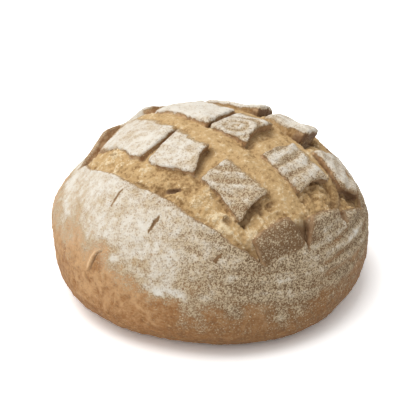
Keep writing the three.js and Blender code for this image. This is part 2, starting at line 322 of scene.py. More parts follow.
class CrustMap:
    """Finds places on the crust laid flat from points of space."""

    PITCH = 1.0
    MARGIN = 18.0

    def __init__(self, form: LoafForm) -> None:
        """Tabulates the nearest point of the outline over the half section.

        Args:
            form: The loaf's turned form.
        """
        outline = form.outline()
        steps = np.hypot(*np.diff(outline, axis=0).T)
        lengths = np.concatenate(([0.0], np.cumsum(steps)))
        self._radii = np.arange(0.0, form.belly_radius + self.MARGIN, self.PITCH)
        self._heights = np.arange(-self.MARGIN, form.height + self.MARGIN, self.PITCH)
        falling = outline[::-1]
        edge = np.interp(self._heights, falling[:, 1], falling[:, 0], left=0.0, right=0.0)
        shape = (len(self._radii), len(self._heights))
        self._length = np.empty(shape, np.float32)
        self._above = np.empty(shape, np.float32)
        for column, height in enumerate(self._heights):
            away = np.hypot(self._radii[:, None] - outline[:, 0], height - outline[:, 1])
            nearest = away.argmin(axis=1)
            inside = (height > 0.0) & (self._radii < edge[column])
            self._length[:, column] = lengths[nearest]
            self._above[:, column] = np.where(inside, -1.0, 1.0) * away.min(axis=1)

    def locate(self, points: Array) -> tuple[Array, Array, Array]:
        """Finds places on the crust laid flat.

        Args:
            points: Places near the even form, one to a row.

        Returns:
            The places along, across and above.
        """
        radius = np.hypot(points[:, 0], points[:, 1])
        column = np.clip(radius / self.PITCH, 0, len(self._radii) - 1.001)
        row = np.clip((points[:, 2] - self._heights[0]) / self.PITCH, 0, len(self._heights) - 1.001)
        i, j = column.astype(np.int32), row.astype(np.int32)
        u, v = (column - i).astype(np.float32), (row - j).astype(np.float32)
        found = []
        for table in (self._length, self._above):
            low = between(table[i, j], table[i + 1, j], u)
            high = between(table[i, j + 1], table[i + 1, j + 1], u)
            found.append(between(low, high, v))
        length, above = found
        spread = length / np.maximum(radius, 0.01)
        along = spread * (points[:, 0] - points[:, 1]) / ROOT_TWO
        across = spread * (points[:, 0] + points[:, 1]) / ROOT_TWO
        return along, across, above


class Lip:
    """One edge of a long score: across against along, by smooth steps between stations.

    A crease's line is one too, with along against across.
    """

    SAMPLES = 1200

    def __init__(self, stations: Stations) -> None:
        """Samples the edge.

        Args:
            stations: Places [along, across] in order along.
        """
        places, values = (np.array(column) for column in zip(*stations))
        self.first, self.last = float(places[0]), float(places[-1])
        self.lowest, self.highest = float(values.min()), float(values.max())
        self._along = np.linspace(self.first, self.last, self.SAMPLES)
        before = np.clip(np.searchsorted(places, self._along, side="right") - 1, 0, len(places) - 2)
        share = ease((self._along - places[before]) / (places[before + 1] - places[before]), 0.0, 1.0)
        self._across = between(values[before], values[before + 1], share)

    def at(self, along: Array) -> Array:
        """Gives the edge's place across at each place along."""
        return np.interp(along, self._along, self._across)


@dataclass(frozen=True)
class LongScore:
    """A long score that has burst open, between a near and a far lip.

    The crumb in it lies deep_near below the crust along the near lip and deep_far below it along the
    far lip, swells up between them, and is broken into crags and burst bubbles. Towards its front end
    it lies deeper by tip_deep, and is in shade. The end's two stretches are given as ways short of it.
    """

    TIP_STRETCH = (26.0, 12.0)
    SHADE_STRETCH = (28.0, 15.0)
    SHADE_MARGIN = 2.5
    SHADE_BY_DEPTH = 0.25
    DARKEST = 0.9

    near: Lip
    far: Lip
    deep_near: float
    deep_far: float
    swell: float
    crag: float
    pores: float
    tip_deep: float = 0.0

    def tip(self, along: Array) -> Array:
        """Gives how much deeper the crumb lies towards the front end."""
        start, end = (self.near.last - short for short in self.TIP_STRETCH)
        return self.tip_deep * ease(along, start, end)

    def shadow(self, along: Array, across: Array) -> Array:
        """Gives how dark the narrow front end is, from 0 to 1.

        Args:
            along: Places along.
            across: Places across.

        Returns:
            Shares, 0 outside the score.
        """
        margin = self.SHADE_MARGIN
        inside = (across > self.near.at(along) - margin) & (across < self.far.at(along) + margin)
        start, end = (self.near.last - short for short in self.SHADE_STRETCH)
        darkest = np.minimum(self.SHADE_BY_DEPTH * self.tip_deep, self.DARKEST)
        return inside * darkest * ease(along, start, end)


@dataclass(frozen=True)
class CrossScore:
    """A cross score between two plates of a row.

    foot and head give its left and right lips at the row's foot and head. rise gives how far the
    plate on its left lifts there at its foot, middle and head, and bite how far its end is hollowed.
    crag is how craggy its crumb is. slot is how deep a narrow cut is, and hollow and rest how deep a wide
    one is at its left and right. pillow is how far the plate on the right swells, and corner and heel how
    round its head and foot corners are; toe is how round the left plate's foot corner is. undercut is how
    far the hollow reaches under the left plate. settled marks the row's outer end, where there is no cut.
    """

    foot: Pair
    head: Pair
    rise: tuple[float, float, float] = (0.0, 0.0, 0.0)
    bite: float = 0.0
    crag: float = 0.6
    slot: float = 3.6
    hollow: float = 3.6
    rest: float = 0.4
    pillow: float = 0.0
    corner: float = 2.5
    heel: float = 2.5
    toe: float = 3.0
    undercut: float = 4.5
    settled: bool = False

    def left(self, share: Array) -> Array:
        """Gives the left lip a share of the way from foot to head."""
        return between(self.foot[0], self.head[0], share) - 4.0 * self.bite * share * (1.0 - share)

    def right(self, share: Array) -> Array:
        """Gives the right lip a share of the way from foot to head."""
        return between(self.foot[1], self.head[1], share)

    def lift(self, share: Array) -> Array:
        """Gives how far the plate on the left lifts, a share of the way from foot to head."""
        low, middle, high = self.rise
        return between(low, middle, ease(share, 0.0, 0.5)) + (high - middle) * ease(share, 0.5, 1.0)


@dataclass(frozen=True)
class Slit:
    """A short pointed nick in the crust."""

    along: float
    across: float
    length: float
    width: float


@dataclass(frozen=True)
class Crease:
    """A fold of the crust that runs across: a groove with a raised lip on its near side.

    line gives the fold's place along at each place across, depth how deep its groove is and lip how high
    its lip stands. Humps are given as their middle, a way off the line, and their width.
    """

    GROOVE = (0.6, 0.8)
    LIP = (-1.9, 1.7)
    PALE = (-2.2, 1.9)
    DARK = (0.6, 0.7)
    BEHIND = Ramp(0.5, 2.5)
    FADING = Ramp(4.0, 16.0)
    LOW_LIP = 0.6
    SHALLOW = 0.7
    DARKEST = 0.8
    BLUNT = 0.6

    line: Lip
    depth: float
    lip: float

    @property
    def strength(self) -> float:
        """How much of the depth is enough to throw shade."""
        return max(self.depth - self.SHALLOW, 0.0)

    def push(self, along: Array, across: Array) -> Array:
        """Gives how far the fold moves the crust outwards, below 0 in the groove."""
        off = along - self.line.at(across)
        return self._fade(across) * (self.lip * hump(off, *self.LIP) - self.depth * hump(off, *self.GROOVE))

    def pale(self, along: Array, across: Array) -> Array:
        """Gives how far the lip is paler, partly stretched crust and partly painted highlight, up to 1."""
        off = along - self.line.at(across)
        return self._fade(across) * max(self.lip - self.LOW_LIP, 0.0) * hump(off, *self.PALE)

    def dark(self, along: Array, across: Array) -> Array:
        """Gives how far the groove is in its own shade, up to 1."""
        off = along - self.line.at(across)
        return self._fade(across) * (self.DARKEST * self.strength) * hump(off, *self.DARK)

    def shaded(self, along: Array, across: Array) -> Array:
        """Gives the painted shade behind the fold, which makes the crust there browner, up to 1."""
        off = along - self.line.at(across)
        return self._fade(across) * self.strength * self.BEHIND.up(off) * self.FADING.down(off)

    def _fade(self, across: Array) -> Array:
        """Fades the fold out towards its two ends."""
        share = np.clip((across - self.line.first) / (self.line.last - self.line.first), 0.0, 1.0)
        return np.maximum(np.sin(np.pi * share), 0.0) ** self.BLUNT


def turned(along: Array, across: Array, turn: float) -> tuple[Array, Array]:
    """Gives places along and across an axis that is turned from along by some degrees."""
    cosine, sine = math.cos(math.radians(turn)), math.sin(math.radians(turn))
    return along * cosine + across * sine, across * cosine - along * sine


@dataclass(frozen=True)
class Pit:
    """A burst gas bubble or a crevice in the crumb, turned from along by turn degrees.

    dark is how far its inside is in its own shade, from 0 to 1.
    """

    RIM = Ramp(0.9, 1.3)

    along: float
    across: float
    half_length: float
    half_width: float
    depth: float
    turn: float = 0.0
    dark: float = 0.35

    def shadow(self, along: Array, across: Array) -> Array:
        """Gives how dark the crumb is in and near the pit, from 0 to 1."""
        a, b = turned(along - self.along, across - self.across, self.turn)
        return self.dark * self.RIM.down(np.hypot(a / self.half_length, b / self.half_width))


LONG_SCORES = (
    LongScore(
        Lip(((-80, -66), (-55, -75), (0, -77.5), (45, -74), (85, -66), (114, -56))),
        Lip((
            (-80, -65), (-62, -56), (-46, -52.5), (-34, -54), (-25, -59),
            (5, -56.5), (22, -51), (36, -47), (96, -51.5), (114, -55),
        )),
        deep_near=1.6, deep_far=1.8, swell=0.9, crag=1.5, pores=0.6, tip_deep=1.2,
    ),
    LongScore(
        Lip((
            (-88, -9), (-50, -15), (-12, -19), (10, -23), (38, -20), (78, -18), (106, -15.5), (127, -14),
        )),
        Lip(((-88, -8), (-45, 0), (-8, -3), (30, 0), (54, 4), (90, 4), (109, -3), (127, -13.5))),
        deep_near=0.3, deep_far=2.0, swell=1.1, crag=0.75, pores=0.3, tip_deep=4.0,
    ),
    LongScore(
        Lip(((-70, 38), (-20, 34), (15, 37), (50, 40), (90, 39), (111, 34.5), (123, 37))),
        Lip(((-70, 39), (-25, 45), (20, 47), (54, 50), (95, 51), (111, 40), (123, 37.5))),
        deep_near=0.5, deep_far=3.8, swell=1.0, crag=0.7, pores=0.4, tip_deep=2.0,
    ),
    LongScore(
        Lip(((-58, 82), (0, 84), (60, 84), (104, 78))),
        Lip(((-58, 83), (0, 97), (60, 97), (104, 79))),
        deep_near=0.9, deep_far=3.0, swell=1.2, crag=1.2, pores=0.6,
    ),
)
ROWS = (
    (
        CrossScore((0, -106), (0, -112), settled=True),
        CrossScore((-71, -66), (-79, -74), (2.0, 4.8, -0.5), slot=1.6, undercut=0.8),
        CrossScore((-13, -6.5), (-15.3, -12.2), (0.8, 1.0, 0.6), slot=4.6, undercut=2.0),
        CrossScore((34.5, 37.5), (22, 38), (0.9, 4.0, 3.6), 3.0, toe=9.0),
        CrossScore(
            (82, 96), (78, 98), (0.9, 3.8, 3.2), 2.5, 1.6,
            rest=1.4, pillow=3.0, corner=9.0, undercut=3.5,
        ),
        CrossScore((123, 0), (131, 0), settled=True),
    ),
    (
        CrossScore((0, -106), (0, -100), settled=True),
        CrossScore((-63, -58), (-68, -65), (3.8, 0.3, -0.5), slot=1.6, undercut=0.8),
        CrossScore((0, 1.5), (-7.5, -2.5), (1.0, 1.6, 1.2), slot=4.6, undercut=2.0),
        CrossScore((36, 48.5), (26, 46.5), (1.0, 4.2, 3.6), 3.0),
        CrossScore(
            (89, 105.5), (86, 107.5), (1.0, 3.8, 3.6), 3.5, 1.9,
            rest=1.4, pillow=3.0, corner=14.0, heel=12.0, undercut=3.5,
        ),
        CrossScore((132, 0), (128, 0), settled=True),
    ),
    (
        CrossScore((0, -92), (0, -84), settled=True),
        CrossScore((-52, -48), (-56, -53), (0.4, 0.4, 0.0), pillow=1.0, undercut=0.8),
        CrossScore(
            (4, 11), (-12, -2), (3.4, 3.4, 2.4),
            slot=5.0, hollow=5.5, pillow=2.2, undercut=0.6,
        ),
        CrossScore(
            (46, 57), (34, 55), (4.2, 5.0, 3.8),
            hollow=6.0, pillow=2.4, heel=4.0, undercut=0.6,
        ),
        CrossScore(
            (95, 110), (99, 106), (0.6, 1.0, 0.6), 1.0, 1.4,
            rest=1.4, pillow=1.2, corner=10.0, heel=5.0, undercut=2.5,
        ),
        CrossScore((130, 0), (122, 0), settled=True),
    ),
)
SLITS = (
    Slit(-6.5, -92, 14, 0.9),
    Slit(35, -93.5, 14, 1.0),
    Slit(88, -80, 10, 0.1),
    Slit(-10, 108, 14, 2.0),
    Slit(36, 109, 15, 2.4),
)
CREASES = (
    Crease(
        Lip(((-149, -9), (-146, -5), (-142, -3.5), (-137, -2), (-133, 0), (-128, 5))),
        depth=1.8, lip=1.4,
    ),
    Crease(Lip(((-156, -7.5), (-150, -10.5))), depth=1.5, lip=0.8),
    Crease(Lip(((-168, 12), (-150, 16), (-138, 14))), depth=0.7, lip=0.6),
    Crease(Lip(((-172, 22), (-158, 27), (-146, 27))), depth=0.6, lip=0.5),
    Crease(Lip(((-112, -20), (-92, -24))), depth=0.3, lip=0.3),
)
PITS = (
    Pit(29, -66.5, 5.5, 2.0, 5.0, turn=40, dark=1.0),
    Pit(74.5, -56.5, 3.6, 3.2, 4.0),
    Pit(5, -75.5, 6, 1.0, 3.0),
    Pit(22, -74.5, 6, 1.2, 3.0),
    Pit(-43, -60, 5, 1.3, 3.0),
    Pit(96, -59, 1.2, 1.1, 2.5),
)


@dataclass
class Trough:
    """One score's trough: which places are near it, how far inside it they are, and its crumb there."""

    pick: Array
    inside: Array
    height: Array
    crag: float
    pores: float


@dataclass
class Layers:
    """What the crust field finds at each place, in millimetres; distances are below 0 inside."""

    total: Array
    plate: Array
    below_top: Array
    plate_side: Array
    plate_head: Array
    plate_end: Array
    opening: Array
    crag: Array
    knob: Array
    nick: Array


@dataclass
class RowPlaces:
    """The places in one row of plates, with the row's foot and head beside each."""

    cuts: tuple[CrossScore, ...]
    pick: Array
    along: Array
    across: Array
    foot: Array
    head: Array

    def part(self, left: float, right: float) -> tuple[Array, Array, Array, Array, Array]:
        """Takes which places are between two ends, with their along, across, foot and head."""
        here = np.flatnonzero((self.along > left) & (self.along < right))
        return self.pick[here], self.along[here], self.across[here], self.foot[here], self.head[here]


@dataclass
class CrustField:
    """The scored crust as a distance over the crust laid flat, in millimetres.

    A radius is how round two surfaces meet, a size how wide the lumps of a noise are, and a margin how
    far outside a score places still belong to it.
    """

    CRAGS = (0.9, 0.9, 0.5, 0.3)
    CRAGS_SUNK = 0.9
    PALE = (0.3, 0.8, 0.6, 0.4)
    PALE_LESS = 0.7
    PALE_BUBBLE = 0.6

    foot_undercut: float = 1.2
    narrow_width: float = 3.0
    slot_width: float = 6.0
    hollow_width: float = 9.0
    least_width: float = 0.5
    least_opening: float = 0.2
    hollow_climb: Ramp = Ramp(0.05, 0.75)
    trough_radius: float = 2.0
    trough_edge: float = 1.0
    lip_curl: float = 0.7
    lip_reach: float = 7.0
    lip_radius: float = 1.4
    crumb_tuck: float = 0.8
    crumb_sunk: float = 0.3
    seam_radius: float = 0.8
    plate_thickness: float = 3.2
    plate_uneven: float = 0.6
    plate_uneven_size: float = 5.0
    plate_crest: float = 0.5
    plate_root: float = 9.0
    head_round: Ramp = Ramp(-2.0, 6.0)
    start_round: Ramp = Ramp(-3.0, 5.0)
    foot_lift: float = 1.1
    foot_lift_left: float = 0.35
    foot_reach: float = 12.0
    end_reach: float = 20.0
    settle_reach: float = 22.0
    settle_depth: float = 2.5
    edge_radius: float = 1.8
    slit_depth: float = 1.8
    slit_radius: float = 1.0
    nick_radius: float = 0.5
    ragged: float = 0.7
    ragged_size: float = 6.5
    ragged_fine: float = 0.5
    ragged_fine_size: float = 2.3
    lump_size: float = 12.0
    fold_size: float = 8.0
    tear_size: float = 4.2
    strand_size: float = 2.4
    strand_stretch: float = 0.3
    bubble_size: float = 9.0
    near_margin: float = 4.0
    far_margin: float = 7.0
    row_margin: float = 3.0
    left_margin: float = 12.0
    right_margin: float = 1.0
    crumb_margin: float = 2.0
    plate_margin: float = 4.0
    slit_margin: float = 4.0
    pit_margin: float = 3.0
    far_off: float = 20.0
    grains: tuple[Grain, ...] = field(default_factory=lambda: tuple(Grain(seed) for seed in range(3, 8)))

    def layers(self, along: Array, across: Array, above: Array) -> Layers:
        """Works out the crust at places on and near it.

        Args:
            along: Places along.
            across: Places across.
            above: Heights over the unscored crust.

        Returns:
            The layers there.
        """
        along, across = self._fray(along, across)
        opening, floor, crag, knob = self._troughs(along, across)
        curl = self.lip_curl * (1.0 - ease(-opening, 0.0, self.lip_reach))
        skin = soft_max(above - curl, opening, self.lip_radius)
        crumb = np.maximum(above - floor, -opening - self.crumb_tuck)
        body = soft_min(skin, crumb, self.seam_radius)
        plate, below_top, *ways = self._plates(along, across, above)
        nick = self._nicks(along, across, above)
        total = soft_max(soft_min(body, plate, self.seam_radius), -nick, self.nick_radius)
        return Layers(total, plate, below_top, *ways, opening, crag, knob, nick)

    def _fray(self, along: Array, across: Array) -> tuple[Array, Array]:
        """Shifts places a little, so that cut edges come out ragged.

        Args:
            along: Places along.
            across: Places across.

        Returns:
            The shifted places along and across.
        """
        moved = []
        for place, coarse, fine in ((along, 0, 1), (across, 2, 3)):
            shift = self.ragged * self.grains[coarse].flat(along, across, self.ragged_size)
            shift += self.ragged_fine * self.grains[fine].flat(along, across, self.ragged_fine_size)
            moved.append(place + shift)
        return moved[0], moved[1]

    def _rows(self, along: Array, across: Array, margin: float) -> Iterator[RowPlaces]:
        """Goes through the rows of plates.

        Args:
            along: Places along.
            across: Places across.
            margin: How far below its foot and above its head places belong to a row.

        Returns:
            The places of each row in turn.
        """
        for row, cuts in enumerate(ROWS):
            foot, head = LONG_SCORES[row].far, LONG_SCORES[row + 1].near
            pick = np.flatnonzero((across > foot.lowest - margin) & (across < head.highest + margin))
            in_row = along[pick]
            yield RowPlaces(cuts, pick, in_row, across[pick], foot.at(in_row), head.at(in_row))

    def _troughs(self, along: Array, across: Array) -> tuple[Array, Array, Array, Array]:
        """Joins the troughs of all the scores.

        Args:
            along: Places along.
            across: Places across.

        Returns:
            How far inside an opened score each place is, and the crumb's height over the unscored crust,
            its cragginess, and how far it stands out pale there.
        """
        opening = np.full(along.shape, -self.far_off, np.float32)
        weight = np.full(along.shape, 1e-6, np.float32)
        floor, crag, pores = (np.zeros(along.shape, np.float32) for _ in range(3))
        for trough in chain(self._long_troughs(along, across), self._cross_troughs(along, across)):
            pick, inside = trough.pick, trough.inside
            opening[pick] = soft_max(opening[pick], inside.astype(np.float32), self.trough_radius)
            share = np.maximum(inside + self.trough_edge, 0.0) ** 2
            weight[pick] += share
            floor[pick] += share * trough.height
            crag[pick] += share * trough.crag
            pores[pick] += share * trough.pores
        floor /= weight
        crag /= weight
        pick = np.flatnonzero(opening > -self.crumb_margin)
        crags, bubbles, pale = self._crumb(along[pick], across[pick])
        floor[pick] += crag[pick] * crags - pores[pick] / weight[pick] * bubbles
        knob = np.zeros(along.shape, np.float32)
        knob[pick] = pale * (0.5 + 0.5 * crag[pick])
        return opening, floor, crag, knob

    def _long_troughs(self, along: Array, across: Array) -> Iterator[Trough]:
        """Goes through the troughs of the long scores.

        Args:
            along: Places along.
            across: Places across.

        Returns:
            The trough of each score in turn.
        """
        for score in LONG_SCORES:
            near, far = score.near, score.far
            pick = np.flatnonzero(
                (across > near.lowest - self.near_margin) & (across < far.highest + self.far_margin)
                & (along > near.first) & (along < near.last)
            )
            a, b = along[pick], across[pick]
            open_share = np.sqrt(np.sin(np.pi * (a - near.first) / (near.last - near.first)))
            low = near.at(a)
            high = np.maximum(far.at(a) + self.foot_undercut * open_share, low + self.least_opening)
            v = np.clip((b - low) / (high - low), 0.0, 1.0)
            deep = score.deep_near * (1.0 - v) ** 2 + score.deep_far * v ** 2
            height = (score.swell * np.sin(np.pi * v) - deep) * open_share - self.crumb_sunk - score.tip(a)
            yield Trough(pick, np.minimum(b - low, high - b), height, score.crag, score.pores)

    def _cross_troughs(self, along: Array, across: Array) -> Iterator[Trough]:
        """Goes through the troughs of the cross scores.

        Args:
            along: Places along.
            across: Places across.

        Returns:
            The trough of each score in turn.
        """
        for row in self._rows(along, across, self.row_margin):
            for cut in row.cuts[1:-1]:
                left = min(cut.foot[0], cut.head[0]) - self.left_margin
                right = max(cut.foot[1], cut.head[1]) + self.right_margin
                pick, a, b, low, high = row.part(left, right)
                v = np.clip((b - low) / (high - low), 0.0, 1.0)
                starts, ends = cut.left(v), cut.right(v)
                width = np.maximum(ends - starts, self.least_width)
                climb = self.hollow_climb.up((a - starts) / width)
                past_slot = ease(width, self.narrow_width, self.slot_width)
                deep_end = between(cut.slot, cut.rest, past_slot)
                past_narrow = ease(width, self.narrow_width, self.hollow_width)
                deep_start = between(cut.slot, cut.hollow, past_narrow)
                under = starts - np.minimum(cut.undercut, width)
                inside = np.minimum(b - low, high - b) + self.trough_edge
                inside = np.minimum(np.minimum(a - under, ends - a), inside)
                deep = between(deep_start, deep_end, climb)
                yield Trough(pick, inside, -deep, cut.crag, cut.crag)

    def _crumb(self, along: Array, across: Array) -> tuple[Array, Array, Array]:
        """Gives the relief of the burst crumb.

        Args:
            along: Places along.
            across: Places across.

        Returns:
            The heights of its crags, the depths of its bubbles, and how far each place stands out pale.
        """
        lumps = self.grains[4].flat(along, across, self.lump_size)
        folds = (1.0 - np.abs(self.grains[0].flat(along + 3 * lumps, across, self.fold_size))) ** 3
        tears = (1.0 - np.abs(self.grains[1].flat(along, across + 2 * lumps, self.tear_size))) ** 4
        strands = self.grains[3].flat(along, across * self.strand_stretch, self.strand_size)
        bubbles = self.grains[2].bubbles(along, across, self.bubble_size)
        parts = (lumps, folds, tears, strands)
        crags = sum(gain * part for gain, part in zip(self.CRAGS, parts)) - self.CRAGS_SUNK
        pale = sum(gain * part for gain, part in zip(self.PALE, parts)) - self.PALE_LESS
        return crags, bubbles, pale - self.PALE_BUBBLE * bubbles

    def _plates(self, along: Array, across: Array, above: Array) -> tuple[Array, ...]:
        """Finds the plates of crust.

        Args:
            along: Places along.
            across: Places across.
            above: Heights over the unscored crust.

        Returns:
            The distance to the nearest plate, the depth below its top, and the ways to its nearest edge,
            to its head and to its right end.
        """
        plate, plate_head, plate_end = (np.full(along.shape, self.far_off, np.float32) for _ in range(3))
        plate_side = np.full(along.shape, -self.far_off, np.float32)
        below_top = np.zeros(along.shape, np.float32)
        kept = plate, below_top, plate_side, plate_head, plate_end
        for row in self._rows(along, across, self.plate_margin):
            for opens, closes in zip(row.cuts[:-1], row.cuts[1:]):
                left = min(opens.foot[1], opens.head[1]) - self.plate_margin
                right = max(closes.foot[0], closes.head[0]) + self.plate_margin
                pick, a, b, low, high = row.part(left, right)
                from_foot, from_head = b - low, high - b
                v = np.clip(from_foot / (high - low), 0.0, 1.0)
                from_start, from_end = a - opens.right(v), closes.left(v) - a
                side = soft_min(from_head, from_start, opens.corner)
                side = soft_min(side, soft_min(from_foot, from_end, closes.toe), opens.heel)
                top = self._plate_top(opens, closes, (from_start, from_end, from_foot, from_head))
                inward = np.minimum(from_end / closes.undercut, from_foot / self.foot_undercut)
                uneven = self.plate_uneven * self.grains[3].flat(a, b, self.plate_uneven_size)
                thick = self.plate_thickness + uneven
                bottom = top - thick - self.plate_root * np.clip(inward, 0.0, 1.0)
                slab = soft_max(above[pick] - top, bottom - above[pick], self.seam_radius)
                slab = soft_max(slab, -side, self.edge_radius).astype(np.float32)
                nearer = slab < plate[pick]
                for values, found in zip(kept, (slab, top - above[pick], side, from_head, from_end)):
                    values[pick] = np.where(nearer, found, values[pick])
        return kept

    def _plate_top(self, opens: CrossScore, closes: CrossScore, ways: tuple[Array, ...]) -> Array:
        """Gives the height of a plate's top over the unscored crust.

        Args:
            opens: The cut on the plate's left.
            closes: The cut on its right, at whose lip it lifts.
            ways: Distances from its left end, its right end, its foot and its head.

        Returns:
            The heights.
        """
        from_start, from_end, from_foot, from_head = ways
        share = np.clip(from_foot / np.maximum(from_foot + from_head, 1.0), 0.0, 1.0)
        way = np.clip(from_start / np.maximum(from_start + from_end, 1.0), 0.0, 1.0)
        pillow = self.plate_crest + opens.pillow
        crest = pillow * self.head_round.up(from_head) * self.start_round.up(from_start)
        crest = crest + closes.lift(share) * (1.0 - ease(from_end, 0.0, self.end_reach))
        foot_lift = self.foot_lift * between(self.foot_lift_left, 1.0, way)
        crest = crest + foot_lift * (1.0 - ease(from_foot, 0.0, self.foot_reach))
        free = ease(from_start, 0.0, self.settle_reach) if opens.settled else 1.0
        free = free * (ease(from_end, 0.0, self.settle_reach) if closes.settled else 1.0)
        return between(-self.settle_depth, crest, free)

    def _nicks(self, along: Array, across: Array, above: Array) -> Array:
        """Finds the slits, burst bubbles and crevices.

        Args:
            along: Places along.
            across: Places across.
            above: Heights over the unscored crust.

        Returns:
            The distance to the nearest one.
        """
        cut = np.full(along.shape, self.far_off, np.float32)
        for slit in SLITS:
            reach = slit.length / 2
            beside = np.abs(along - slit.along) < self.slit_margin
            pick = np.flatnonzero(beside & (np.abs(across - slit.across) < reach))
            bow = np.cos(np.pi / 2 * (across[pick] - slit.across) / reach)
            wide = np.abs(along[pick] - slit.along) - slit.width / 2 * bow
            gash = soft_max(wide, -above[pick] - self.slit_depth * bow, self.slit_radius)
            cut[pick] = np.minimum(cut[pick], gash)
        for pit in PITS:
            reach = pit.half_length + self.pit_margin
            beside = np.abs(along - pit.along) < reach
            pick = np.flatnonzero(beside & (np.abs(across - pit.across) < reach))
            a, b = turned(along[pick] - pit.along, across[pick] - pit.across, pit.turn)
            way = np.hypot(a / pit.half_length, b / pit.half_width)
            away = np.hypot(way, np.minimum(above[pick], 0.0) / pit.depth)
            cut[pick] = np.minimum(cut[pick], (away - 1.0) * pit.half_width)
        return cut


@dataclass(frozen=True)
class Clot:
    """A smear of thick flour on the crust, with half its length and width, turned by turn degrees."""

    along: float
    across: float
    half_length: float
    half_width: float
    turn: float = 26.0

    def cover(self, along: Array, across: Array) -> Array:
        """Gives how thickly the smear lies at each place, up to 1."""
        a, b = turned(along - self.along, across - self.across, self.turn)
        return np.exp(-(a / self.half_length) ** 2 - (b / self.half_width) ** 2)


CLOTS = (
    Clot(67, -129, 6.0, 2.5),
    Clot(79, -121, 8.0, 3.0),
    Clot(103, -106, 10.0, 4.0),
    Clot(124, -94, 9.0, 3.0),
    Clot(18, -131, 7.0, 4.0),
)
PALE_FLANK = Clot(122, 56, 12.0, 16.0, turn=0.0)


